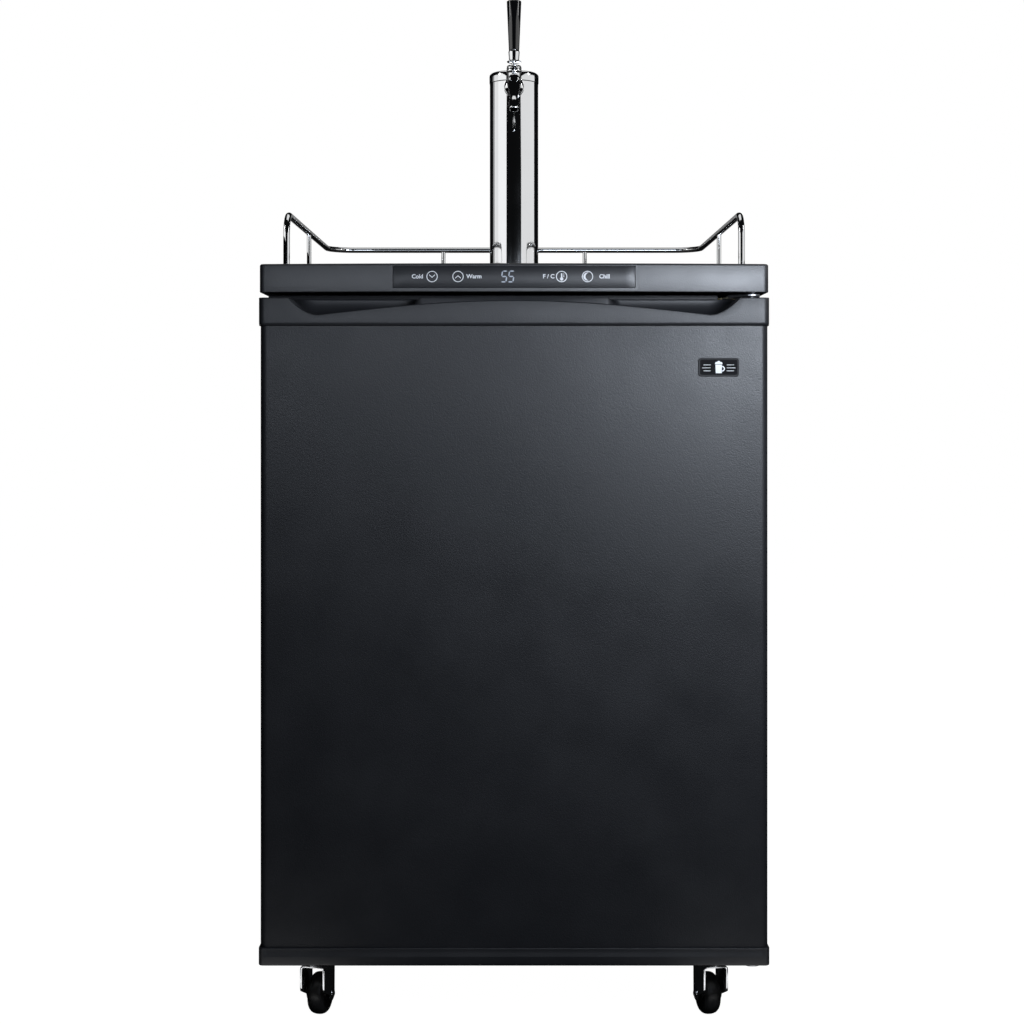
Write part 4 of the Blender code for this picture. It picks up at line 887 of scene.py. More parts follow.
    def sink(
        self,
        test: Callable[[Vector, Vector], bool],
        margin: float,
        depth: Point,
    ) -> "Piece":
        """Insets the faces that a test picks and pushes what is inside.

        Args:
            test: takes a face's middle and its normal.
            margin: how far in the inset goes.
            depth: how far and where the inner face moves.

        Returns:
            The piece itself.
        """
        mesh = self.open()
        bpy.ops.mesh.select_mode(type="FACE")
        bpy.ops.mesh.select_all(action="DESELECT")
        for face in mesh.faces:
            face.select = test(face.calc_center_median(), face.normal)
        bpy.ops.mesh.inset(thickness=margin, depth=0.0)
        bpy.ops.mesh.extrude_region_move(TRANSFORM_OT_translate={"value": depth})
        bpy.ops.object.mode_set(mode="OBJECT")
        return self

    def shape(self, move: Callable[[Vector], Sequence[float]]) -> "Piece":
        """Moves every vertex to the place that a function gives for it."""
        for vert in self.obj.data.vertices:
            vert.co = move(vert.co.copy())
        return self

    def apply(self, kind: str, **settings: object) -> "Piece":
        """Adds a modifier with these settings and applies it.

        Args:
            kind: the modifier's type.
            settings: its properties.

        Returns:
            The piece itself.
        """
        clear_bench()
        self.obj.select_set(True)
        bpy.context.view_layer.objects.active = self.obj
        modifier = self.obj.modifiers.new("work", kind)
        for key, value in settings.items():
            setattr(modifier, key, value)
        bpy.ops.object.modifier_apply(modifier=modifier.name)
        return self

    def cut(self, *cutters: "Piece") -> "Piece":
        """Takes the cutters away from the piece and throws them off the bench."""
        for cutter in cutters:
            self.apply("BOOLEAN", operation="DIFFERENCE", solver="EXACT", object=cutter.obj)
            bpy.data.objects.remove(cutter.obj)
        return self

    def fuse(self, *others: "Piece") -> "Piece":
        """Makes the others one solid with the piece."""
        for other in others:
            self.apply("BOOLEAN", operation="UNION", solver="EXACT", object=other.obj)
            bpy.data.objects.remove(other.obj)
        return self

    def join(self, *others: "Piece") -> "Piece":
        """Puts the others into the same object, each keeping its finish."""
        clear_bench()
        for other in others:
            other.obj.select_set(True)
        self.obj.select_set(True)
        bpy.context.view_layer.objects.active = self.obj
        bpy.ops.object.join()
        return self

    def copied(self, name: str) -> "Piece":
        """A copy with a mesh of its own."""
        obj = self.obj.copy()
        obj.data = self.obj.data.copy()
        bpy.context.scene.collection.objects.link(obj)
        return Piece(obj, name)

    # ---- dressing
    def dress(self, finish: Finish) -> "Piece":
        """Gives the whole piece one finish."""
        self.obj.data.materials.clear()
        self.obj.data.materials.append(finish.made())
        return self

    def fit(self, body: str, slot: str, *nodes: str) -> "Piece":
        """Hangs the piece on its body in place of frame nodes.

        Args:
            body: the body that it moves with.
            slot: the record's material slot; not used.
            nodes: frame nodes that it stands for.

        Returns:
            The piece itself.
        """
        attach(self.obj, body)
        if nodes:
            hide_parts(*nodes)
        LOG.info("%s rides on %s", self.obj.name, body)
        return self


@dataclass(frozen=True)
class Room:
    """The box that a frame node fills at rest."""

    low: Vector
    high: Vector

    @classmethod
    def of(cls, node: str) -> "Room":
        """The box of one node."""
        return cls(*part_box(node))

    @property
    def middle(self) -> Vector:
        """The middle of the box."""
        return (self.low + self.high) / 2

    @property
    def size(self) -> Vector:
        """Its three sides."""
        return self.high - self.low


# ---------------------------------------------------------------- studio
@dataclass(frozen=True)
class SoftBox:
    """A rectangular studio light.

    Args:
        name: the light's name.
        place: where it hangs.
        aim: the point that it faces.
        size: its width and height.
        glow: radiance of its face.
        tint: colour of its light.
    """

    name: str
    place: Point
    aim: Point
    size: Pair
    glow: float
    tint: Colour = (1.0, 1.0, 1.0)

    def hang(self) -> bpy.types.Object:
        """Adds the light and turns it to its aim.

        Returns:
            The light's object.
        """
        clear_bench()
        bpy.ops.object.light_add(type="AREA", location=self.place)
        light = bpy.context.object
        light.name = self.name
        light.data.shape = "RECTANGLE"
        light.data.size, light.data.size_y = self.size
        light.data.color = self.tint
        light.data.energy = self.glow * math.pi * self.size[0] * self.size[1]
        direction = Vector(self.aim) - Vector(self.place)
        light.rotation_euler = direction.to_track_quat("-Z", "Y").to_euler()
        return light


@dataclass(frozen=True)
class Card:
    """A thin board that only reflections and light meet.

    Args:
        name: the board's name.
        low: its lowest corner.
        high: its highest corner.
        glow: radiance of its face; 0 for a dark one.
    """

    name: str
    low: Point
    high: Point
    glow: float

    def lay(self) -> None:
        """Adds the board, out of the camera's sight."""
        clear_bench()
        low, high = Vector(self.low), Vector(self.high)
        bpy.ops.mesh.primitive_cube_add(
            size=1.0, location=(low + high) / 2, scale=high - low
        )
        board = bpy.context.object
        board.name = self.name
        material = bpy.data.materials.new(f"{self.name}_face")
        material.use_nodes = True
        shader = material.node_tree.nodes["Principled BSDF"]
        shader.inputs["Base Color"].default_value = (0.004, 0.004, 0.004, 1.0)
        shader.inputs["Specular IOR Level"].default_value = 0.0
        shader.inputs["Emission Color"].default_value = (1.0, 1.0, 1.0, 1.0)
        shader.inputs["Emission Strength"].default_value = self.glow
        board.data.materials.append(material)
        board.visible_camera = False


@dataclass
class Studio:
    """The camera, the pale floor and the soft light."""

    place: Point = (0.0, -2.400, 0.735)
    lens: float = 62.5
    shift: Pair = (-0.002, -0.0996)
    floor: float = 14.0
    cards: tuple[Card, ...] = (
        Card("dark_flag", (-1.30, -2.10, 0.950), (-0.33, 0.60, 0.951), 0.0),
        Card("left_caster_card", (-0.40, -0.49, 0.0), (-0.22, -0.33, 0.001), 1.2),
        Card("right_caster_card", (0.22, -0.49, 0.0), (0.40, -0.33, 0.001), 1.2),
        Card("rail_card", (-0.70, 2.300, 0.90), (0.70, 2.301, 1.60), 0.2),
    )
    lights: tuple[SoftBox, ...] = (
        SoftBox("key_softbox", (0.55, -1.10, 0.90), (0.44, -0.32, 0.80), (0.4, 0.14), 51.0, COOL),
        SoftBox("middle_fill", (0.25, -1.10, 0.90), (0.20, -0.32, 0.80), (0.4, 0.14), 5.5, COOL),
        SoftBox("centre_fill", (-0.10, -1.10, 0.90), (-0.08, -0.32, 0.80), (0.4, 0.14), 2.4, COOL),
        SoftBox("left_fill", (-0.45, -1.10, 0.90), (-0.36, -0.32, 0.80), (0.4, 0.14), 6.6, COOL),
        SoftBox("far_fill", (0.25, -1.50, 0.88), (0.20, -0.32, 0.80), (0.4, 0.14), 7.7, COOL),
        SoftBox("left_front_panel", (-1.35, -1.12, 1.29), (0.0, -1.12, 1.29), (1.62, 0.560), 1.00),
        SoftBox("left_middle_panel", (-1.35, -0.01, 1.24), (0.0, -0.01, 1.24), (0.60, 0.455), 0.85),
        SoftBox("left_rear_panel", (-1.35, 0.46, 1.24), (0.0, 0.46, 1.24), (0.34, 0.455), 0.30),
        SoftBox("right_front_panel", (1.35, -1.16, 1.29), (0.0, -1.16, 1.29), (1.84, 0.560), 0.80),
        SoftBox("right_middle_panel", (1.35, 0.09, 1.24), (0.0, 0.09, 1.24), (0.66, 0.455), 0.82),
        SoftBox("left_strip", (-1.29, -0.51, 1.64), (0.0, -0.19, 1.22), (0.10, 0.34), 8.0),
        SoftBox("right_strip", (1.29, -0.51, 1.64), (0.0, -0.19, 1.22), (0.10, 0.34), 8.0),
        SoftBox("top_panel", (0.0, 0.30, 2.60), (0.0, 0.1, 0.9), (1.4, 1.4), 0.8),
    )

    def build(self) -> None:
        """Sets the camera first, then the floor, the surroundings and the lights."""
        self._set_camera()
        self._lay_floor()
        for card in self.cards:
            card.lay()
        self._set_surroundings()
        for light in self.lights:
            light.hang()
        bpy.context.scene.view_settings.view_transform = "Standard"

    def _set_camera(self) -> None:
        """A level camera in front of the door, at the height of its upper half."""
        clear_bench()
        bpy.ops.object.camera_add(location=self.place, rotation=(math.pi / 2, 0, 0))
        camera = bpy.context.object
        camera.name = "studio_camera"
        camera.data.lens = self.lens
        camera.data.sensor_width = 36.0
        camera.data.shift_x, camera.data.shift_y = self.shift
        camera.data.clip_end = 50.0
        bpy.context.scene.camera = camera

    def _lay_floor(self) -> None:
        """A wide pale floor that glows a little, so that it stays even."""
        clear_bench()
        bpy.ops.mesh.primitive_plane_add(size=2 * self.floor, location=(0, 0, -0.0005))
        floor = bpy.context.object
        floor.name = "pale_floor"
        material = bpy.data.materials.new("pale_floor_paper")
        material.use_nodes = True
        shader = material.node_tree.nodes["Principled BSDF"]
        shader.inputs["Base Color"].default_value = (0.20, 0.20, 0.20, 1.0)
        shader.inputs["Roughness"].default_value = 0.9
        shader.inputs["Specular IOR Level"].default_value = 0.0
        shader.inputs["Emission Color"].default_value = (1.0, 1.0, 1.0, 1.0)
        shader.inputs["Emission Strength"].default_value = 1.0
        floor.data.materials.append(material)
        floor.visible_diffuse = False
        floor.visible_glossy = False

    def _set_surroundings(self) -> None:
        """White to look at, and nearly dark as a light."""
        world = bpy.data.worlds.new("studio")
        world.use_nodes = True
        bpy.context.scene.world = world
        tree = world.node_tree
        bright = tree.nodes["Background"]
        bright.inputs["Color"].default_value = (1.0, 1.0, 1.0, 1.0)
        dim = tree.nodes.new("ShaderNodeBackground")
        dim.inputs["Color"].default_value = (0.90, 0.95, 1.0, 1.0)
        dim.inputs["Strength"].default_value = 0.004
        path = tree.nodes.new("ShaderNodeLightPath")
        mix = tree.nodes.new("ShaderNodeMixShader")
        tree.links.new(path.outputs["Is Camera Ray"], mix.inputs["Fac"])
        tree.links.new(dim.outputs[0], mix.inputs[1])
        tree.links.new(bright.outputs[0], mix.inputs[2])
        tree.links.new(mix.outputs[0], tree.nodes["World Output"].inputs["Surface"])


# ---------------------------------------------------------------- worktop
@dataclass
class Fascia:
    """The bowed line that the worktop's front follows."""

    bow: float = 0.012
    corner: float = 0.007

    def __post_init__(self) -> None:
        """Reads the worktop's box."""
        self.room = Room.of("top_cover")
        self.half = self.room.high.x

    def face(self, x: float) -> float:
        """Where the face is at x."""
        return self.room.low.y + self.bow * (x / self.half) ** 2

    def outline(self, back: float, level: float, steps: int = 36) -> list[Point]:
        """The worktop seen from above.

        Args:
            back: y of its rear edge.
            level: z of the outline.
            steps: segments along the front.

        Returns:
            Points round it.
        """
        inner = self.half - self.corner
        end = self.face(inner) + self.corner
        front = [inner - 2 * inner * i / steps for i in range(1, steps)]
        right = arc((inner, end), self.corner, 0, -90, 6)
        left = arc((-inner, end), self.corner, -90, -180, 6)
        rear = self.corner * 0.6
        plan = right + [(x, self.face(x)) for x in front] + left
        plan += arc((-self.half + rear, back - rear), rear, 180, 90, 3)
        plan += arc((self.half - rear, back - rear), rear, 90, 0, 3)
        return [(x, y, level) for x, y in plan]

    def slab(
        self, name: str, span: Pair, depth: Pair, levels: Pair, steps: int = 24
    ) -> Piece:
        """A curved slab that follows the face.

        Args:
            name: the piece's name.
            span: lowest and highest x.
            depth: y behind the face, of its front and its back.
            levels: lowest and highest z.
            steps: segments along it.

        Returns:
            The slab.
        """
        xs = [span[0] + (span[1] - span[0]) * i / steps for i in range(steps + 1)]
        front = [(x, self.face(x) + depth[0], levels[1]) for x in xs]
        back = [(x, self.face(x) + depth[1], levels[1]) for x in reversed(xs)]
        return Piece.plate(name, front + back, (0, 0, levels[0] - levels[1]))


@dataclass
class Worktop:
    """The moulded top with its bowed fascia."""

    fascia: Fascia
    wall: float = 0.0035
    top_round: float = 0.0026
    low_round: float = 0.0010
    line_hole: float = 0.020

    def build(self) -> None:
        """Models the moulding, hollows it and cuts the panel's seat and the line's hole."""
        room = self.fascia.room
        top, low = room.high.z, room.low.z
        outline = self.fascia.outline(room.high.y, top)
        cover = Piece.plate("worktop_moulding", outline, (0, 0, low - top))
        hollow = Vector((0, 0, top - low - self.wall))
        cover.sink(lambda m, n: n.z < -0.9, self.wall, hollow)
        cover.bevel(self.top_round, lambda m, d: m.z > top - 1e-4, steps=5)
        cover.bevel(
            self.low_round,
            lambda m, d: m.z < low + 1e-4 and not self._inside(m),
            steps=3,
        )
        panel = Room.of("control_panel")
        rise = Vector((GAP, 0, GAP))
        start, end = panel.low - rise, panel.high + rise
        seat = self.fascia.slab(
            "panel_seat",
            (start.x, end.x),
            (-0.010, 0.0031),
            (start.z, end.z),
        )
        tower = Room.of("tower_column").middle
        profile = [(0, 0), (self.line_hole, 0), (self.line_hole, 0.05), (0, 0.05)]
        hole = Piece.lathe("line_hole", profile, (0, tower.y, low - 0.005))
        cover.cut(seat, hole)
        cover.soften().dress(WORKTOP).fit("root", "black_plastic", "top_cover")

    def _inside(self, place: Vector) -> bool:
        """Whether a point on the underside belongs to the hollow's rim."""
        edge = self.fascia.half - self.wall / 2
        front = self.fascia.face(place.x) + self.wall / 2
        return (
            abs(place.x) < edge
            and place.y > front
            and place.y < self.fascia.room.high.y - self.wall / 2
        )


@dataclass
class ControlPanel:
    """The touch panel with its pictograms, its short words and its display."""

    fascia: Fascia
    ring: float = 0.0066
    stroke: float = 0.00095
    marks: tuple[tuple[str, float], ...] = (
        ("down", -0.0960),
        ("up", -0.0656),
        ("thermometer", 0.0557),
        ("moon", 0.0860),
    )
    words: tuple[tuple[str, float], ...] = (
        ("Cold", -0.1132),
        ("Warm", -0.0468),
        ("F / C", 0.0405),
        ("Chill", 0.1060),
    )
    letter: float = 0.0068
    digits: str = "55"
    digit_places: tuple[float, ...] = (-0.0115, -0.0033)
    digit_size: Pair = (0.0058, 0.0126)
    slant: float = 0.14

    def build(self) -> None:
        """Models the panel, prints its marks and lays the digits of its display."""
        room = Room.of("control_panel")
        self.level = room.middle.z + 0.0004
        recess = room.low.y - self.fascia.face(0.0)
        self.recess = recess
        panel = self.fascia.slab(
            "touch_panel",
            (room.low.x, room.high.x),
            (recess, recess + 0.002),
            (room.low.z, room.high.z),
        )
        front = recess + 0.0004
        panel.bevel(0.0006, lambda m, d: m.y < self.fascia.face(m.x) + front, steps=2)
        panel.soften().dress(PANEL).fit("root", "panel_plastic", "control_panel")
        marks = [self._place(self._mark(kind), x) for kind, x in self.marks]
        for index, (word, x) in enumerate(self.words):
            text = Piece.lettering(f"word_{index}", word, self.letter)
            marks.append(self._place(text, x))
        printed = marks[0].join(*marks[1:])
        printed.obj.name = "panel_marks"
        printed.dress(INK).fit("root", "panel_plastic")
        shown = []
        for index, (digit, x) in enumerate(zip(self.digits, self.digit_places)):
            shown += [self._place(bar, x) for bar in self._digit(digit, index)]
        display = shown[0].join(*shown[1:])
        display.obj.name = "display_digits"
        display.dress(DIGIT).fit("root", "panel_plastic")
        board = Piece.copy_of("control_circuit_board", "control_board", edge=0.0002)
        board.dress(BOARD).fit("root", "circuit_board", "control_board")

    def _place(self, piece: Piece, x: float) -> Piece:
        """Lays a flat mark on the panel's face, along its curve."""
        level, face, recess = self.level, self.fascia.face, self.recess
        return piece.shape(
            lambda v: (v.x + x, face(v.x + x) + recess - INK_RISE + v.y, v.z + level)
        )

    def _disc(self, name: str, outer: float, inner: float, at: Pair = (0, 0)) -> Piece:
        """A flat ring or disc that faces -Y."""
        profile = [(inner, 0), (outer, 0), (outer, INK_RISE), (inner, INK_RISE)]
        centre = (at[0], INK_RISE / 2, at[1])
        if inner:
            return Piece.lathe(name, profile, centre, Axis.FORWARD, 40, ring=True)
        return Piece.lathe(name, profile, centre, Axis.FORWARD, 28)

    def _flat(self, name: str, outline: Sequence[Pair]) -> Piece:
        """A flat shape that faces -Y."""
        route = [(x, -INK_RISE / 2, z) for x, z in outline]
        return Piece.plate(name, route, (0, INK_RISE, 0))

    def _mark(self, kind: str) -> Piece:
        """One pictogram inside its ring.

        Args:
            kind: down, up, thermometer or moon.

        Returns:
            The joined shapes at the origin.
        """
        mark = self._disc(f"ring_{kind}", self.ring, self.ring - self.stroke)
        if kind in ("down", "up"):
            turn = -1.0 if kind == "down" else 1.0
            wide, tall, thick = 0.0034, 0.0015, self.stroke * 1.25
            vee = [(-wide, -tall), (0, tall), (wide, -tall)]
            back = [(wide, -tall - thick), (0, tall - thick), (-wide, -tall - thick)]
            shape = [(x, turn * z) for x, z in vee + back]
            return mark.join(self._flat(f"vee_{kind}", shape))
        if kind == "thermometer":
            stem = [(-0.0008, -0.0020), (0.0008, -0.0020), (0.0008, 0.0038), (-0.0008, 0.0038)]
            bulb = self._disc("bulb", 0.0020, 0.0, (0.0, -0.0028))
            near, far, thick = 0.0016, 0.0032, 0.0006
            ticks = [
                self._flat(f"tick_{i}", [(near, z), (far, z), (far, z + thick), (near, z + thick)])
                for i, z in enumerate((-0.0004, 0.0011, 0.0026))
            ]
            return mark.join(self._flat("stem", stem), bulb, *ticks)
        outer = arc((0.0, 0.0), 0.0048, 70, 290, 18)
        inner = arc((0.0022, 0.0), 0.0045, 275, 85, 18)
        return mark.join(self._flat("crescent", outer + inner))

    def _digit(self, digit: str, index: int) -> list[Piece]:
        """The lit bars of one digit.

        Args:
            digit: 0 to 9.
            index: its place in the display.

        Returns:
            The bars, slanted.
        """
        lit = {
            "0": "abcdef", "1": "bc", "2": "abdeg", "3": "abcdg", "4": "bcfg",
            "5": "acdfg", "6": "acdefg", "7": "abc", "8": "abcdefg", "9": "abcdfg",
        }[digit]
        wide, tall = self.digit_size
        half, rise, bar, gap = wide / 2, tall / 2, 0.0015, 0.00025
        across = [(-half + gap, 0), (-half + bar, bar / 2), (half - bar, bar / 2),
                  (half - gap, 0), (half - bar, -bar / 2), (-half + bar, -bar / 2)]
        upright = [(0, gap), (bar / 2, bar), (bar / 2, rise - bar), (0, rise - gap),
                   (-bar / 2, rise - bar), (-bar / 2, bar)]
        places = {
            "a": (across, 0, rise), "g": (across, 0, 0), "d": (across, 0, -rise),
            "f": (upright, -half, 0), "b": (upright, half, 0),
            "e": (upright, -half, -rise), "c": (upright, half, -rise),
        }
        bars = []
        for key in lit:
            outline, x, z = places[key]
            moved = [(u + x + self.slant * (v + z), v + z) for u, v in outline]
            bars.append(self._flat(f"bar_{index}_{key}", moved))
        return bars


# ---------------------------------------------------------------- guard rail
@dataclass
class GuardRail:
    """The chrome rail round three sides, with its feet and thin posts."""

    rod: float = 0.004
    post: float = 0.003
    foot: float = 0.008
    foot_rise: float = 0.003
    front_bend: float = 0.027
    corner_bend: float = 0.038
    back_post: float = 0.105
    side_post_forward: float = 0.012
    steps: int = 14

    def build(self) -> None:
        """Bends the rod, stands it on its posts and feet, and plates it."""
        room = Room.of("guard_rail")
        side = room.high.x - max(self.foot, self.rod)
        front = room.low.y + self.foot
        back = room.high.y - self.rod
        base = room.low.z
        top = room.high.z - self.rod
        route = self._route(side, front, back, base, top)
        rail = Piece.tube("guard_rail_rod", route, self.rod, round_steps=6)
        middle = (front + back) / 2 - self.side_post_forward
        posts = [(-side, middle), (side, middle), (-self.back_post, back), (self.back_post, back)]
        feet = posts + [(-side, front), (side, front)]
        height = top - base
        for index, (x, y) in enumerate(posts):
            profile = [(0, 0), (self.post, 0), (self.post, height), (0, height)]
            rail.join(Piece.lathe(f"rail_post_{index}", profile, (x, y, base), steps=20))
        for index, (x, y) in enumerate(feet):
            reach, rise = self.foot, self.foot_rise
            profile = eased([(0, 0), (reach, 0), (reach * 0.92, rise), (0, rise)], 0.0008)
            rail.join(Piece.lathe(f"rail_foot_{index}", profile, (x, y, base), steps=28))
        rail.dress(CHROME).fit("root", "chrome", "guard_rail")

    def _route(
        self, side: float, front: float, back: float, base: float, top: float
    ) -> list[Point]:
        """The rod's middle line.

        Args:
            side: half its width.
            front: y of its two feet.
            back: y of its rear run.
            base: z of its ends.
            top: z of its level run.

        Returns:
            Points from the left foot round to the right one.
        """
        bend, corner = self.front_bend, self.corner_bend
        half = [(-side, front, base)]
        rise = arc((front + bend, top - bend), bend, 180, 90, self.steps)
        half += [(-side, y, z) for y, z in rise]
        turn = arc((-side + corner, back - corner), corner, 180, 90, self.steps)
        half += [(x, y, top) for x, y in turn]
        return half + [(-x, y, z) for x, y, z in reversed(half)]


# ---------------------------------------------------------------- tower and faucet
@dataclass
class Tower:
    """The polished column with its foot and its lid."""

    steps: int = 96
    wall: float = 0.0012
    bore: float = 0.0083
    crown: float = 0.0010

    def build(self) -> None:
        """Turns the three pieces and drills the column for the shank."""
        foot, column, cap = (
            Room.of(n) for n in ("tower_flange", "tower_column", "tower_cap")
        )
        centre = (0, column.middle.y)
        radius = column.size.y / 2
        base = foot.low.z
        flange = foot.size.x / 2
        spigot = radius - self.wall - GAP
        profile = [
            (0.020, 0), (flange, 0), (flange, 0.0032), (flange - 0.004, 0.0046),
            (radius + 0.003, 0.0050), (spigot, 0.0050), (spigot, 0.0200), (0.020, 0.0200),
            (0.020, 0.0001),
        ]
        plinth = Piece.lathe(
            "tower_foot", eased(profile, 0.0011), (*centre, base), steps=self.steps, ring=True
        )
        plinth.dress(CHROME).fit("root", "chrome", "tower_flange")
        tall = column.size.z
        profile = [(radius - self.wall, 0), (radius, 0), (radius, tall), (radius - self.wall, tall)]
        tube = Piece.lathe("tower_tube", profile, (*centre, column.low.z), steps=self.steps, ring=True)
        level = Room.of("faucet_shank").middle.z
        drill = [(0, 0), (self.bore, 0), (self.bore, 0.06), (0, 0.06)]
        tube.cut(Piece.lathe("shank_drill", drill, (*centre, level), Axis.FORWARD, 32))
        tube.soften().dress(CHROME).fit("root", "chrome", "tower_column")
        rim, rise = cap.size.x / 2, cap.high.z - column.high.z + self.crown
        start = column.high.z
        profile = [
            (0, -0.0015), (radius - self.wall - GAP, -0.0015), (radius - self.wall - GAP, 0.0003),
            (rim, 0.0003), (rim, rise - 0.0026), (rim - 0.0026, rise - 0.0002), (0, rise),
        ]
        lid = Piece.lathe("tower_lid", eased(profile, 0.0022, 5), (*centre, start), steps=self.steps)
        lid.dress(CHROME).fit("root", "chrome", "tower_cap")


@dataclass
class Faucet:
    """The tap's fixed parts: shank, collar, ring nut, body and bonnet, and its sliding shaft."""

    steps: int = 56
    barrel_length: float = 0.0480
    spout_length: float = 0.0467
    spout_setback: float = 0.0387
    spout_tilt: float = math.radians(30.0)

    def build(self) -> None:
        """Builds each part on the frame's axes."""
        self.level = Room.of("faucet_shank").middle.z
        self._shank_and_nut()
        self._body()
        bonnet = Room.of("faucet_bonnet")
        reach, hole = bonnet.size.x / 2, 0.0074
        rise = bonnet.size.z
        profile = [
            (hole, 0), (reach - 0.0010, 0), (reach - 0.0010, 0.0013), (reach - 0.0018, 0.0018),
            (reach - 0.0010, 0.0023), (reach - 0.0012, 0.0030), (reach - 0.0024, rise),
            (hole, rise), (hole, 0.0001),
        ]
        centre = (bonnet.middle.x, bonnet.middle.y, bonnet.low.z)
        ring = Piece.lathe(
            "faucet_bonnet_ring", eased(profile, 0.0004), centre, steps=self.steps, ring=True
        )
        ring.dress(CHROME).fit("root", "chrome", "faucet_bonnet")
        shaft = Piece.copy_of("faucet_inner_shaft", "faucet_shaft", edge=0.0002)
        shaft.dress(STEEL).fit("shaft", "stainless_steel", "faucet_shaft")

    def _shank_and_nut(self) -> None:
        """The threaded shank, the round collar and the ring nut."""
        shank = Piece.copy_of("faucet_threaded_shank", "faucet_shank", edge=0.0002)
        shank.dress(STEEL).fit("root", "stainless_steel", "faucet_shank")
        collar = Room.of("shank_collar")
        reach = collar.size.x / 2
        start = (0, collar.low.y, self.level)
        length = collar.size.y
        profile = [
            (0.0083, 0), (reach - 0.0020, 0), (reach, 0.0016), (reach, length), (0.0083, length),
            (0.0083, 0.0001),
        ]
        washer = Piece.lathe(
            "shank_collar_ring", eased(profile, 0.0006), start, Axis.BACK, self.steps, ring=True
        )
        column = Room.of("tower_column")
        radius = column.size.y / 2 + 0.0008
        room = [(0, 0), (radius, 0), (radius, 0.06), (0, 0.06)]
        washer.cut(Piece.lathe("column_room", room, (0, column.middle.y, self.level - 0.03), steps=96))
        washer.soften().dress(CHROME).fit("root", "chrome", "shank_collar")
        nut = Room.of("coupling_nut")
        reach, length = nut.size.x / 2, nut.size.y
        dome = [
            (0.0049 + 0.0084 * math.sin(a), 0.0084 * (1 - math.cos(a)))
            for a in [math.radians(24 + 5 * i) for i in range(8)]
        ]
        profile = dome + [(reach, 0.0050), (reach, length), (0.0083, length)]
        start = (0, nut.low.y, self.level)
        ring = Piece.lathe(
            "coupling_ring_nut", profile, start, Axis.BACK, self.steps, ring=True
        )
        ring.soften().dress(CHROME).fit("root", "chrome", "coupling_nut")

    def _body(self) -> None:
        """The barrel, the lever's socket and the spout, made one and bored."""
        body = Room.of("faucet_body")
        lever = Room.of("tap_lever").middle
        rear = (0, body.high.y, self.level)
        length = self.barrel_length
        profile = [
            (0, 0), (0.0086, 0), (0.0086, 0.0020), (0.0076, 0.0040), (0.0074, 0.0120),
            (0.0077, 0.0200), (0.0077, length - 0.0120), (0.0072, length - 0.0050),
            (0.0060, length - 0.0012), (0.0048, length - 0.0002), (0, length),
        ]
        barrel = Piece.lathe("faucet_barrel", eased(profile, 0.0016, 4), rear, Axis.FORWARD, self.steps)
        top = Room.of("faucet_bonnet").low.z - GAP - self.level
        profile = [
            (0, 0.001), (0.0078, 0.001), (0.0082, top - 0.0045), (0.0095, top - 0.0030),
            (0.0095, top), (0, top),
        ]
        place = (0, lever.y, self.level)
        socket = Piece.lathe("lever_socket", eased(profile, 0.0008), place, steps=self.steps)
        tip = self.spout_length
        profile = [
            (0, 0), (0.0078, 0), (0.0076, 0.0090), (0.0060, 0.0190), (0.0047, 0.0260),
            (0.0049, 0.0295), (0.0063, 0.0340), (0.0066, tip - 0.0050), (0.0060, tip - 0.0014),
            (0.0050, tip), (0.0042, tip), (0.0038, tip - 0.0150), (0, tip - 0.0150),
        ]
        root = Vector((0, rear[1] - self.spout_setback, self.level - 0.0013))
        spout = Piece.lathe("faucet_spout", eased(profile, 0.0014, 4), root, Axis.DOWN, self.steps)
        cos, sin = math.cos(self.spout_tilt), math.sin(self.spout_tilt)

        def lean(v: Vector) -> Point:
            """Turns a point forward about the spout's root."""
            y, z = v.y - root.y, v.z - root.z
            return (v.x, root.y + y * cos + z * sin, root.z + z * cos - y * sin)

        spout.shape(lean)
        barrel.fuse(socket, spout)
        reach = body.high.y - lever.y + 0.030
        bore = [(0, 0), (0.0046, 0), (0.0046, reach), (0, reach)]
        well = [(0, 0), (0.0074, 0), (0.0074, 0.030), (0, 0.030)]
        barrel.cut(
            Piece.lathe("shaft_bore", bore, (0, body.high.y + 0.010, self.level), Axis.FORWARD, 32),
            Piece.lathe("lever_well", well, (0, lever.y, self.level - 0.002), steps=32),
        )
        barrel.soften().dress(CHROME).fit("root", "chrome", "faucet_body")


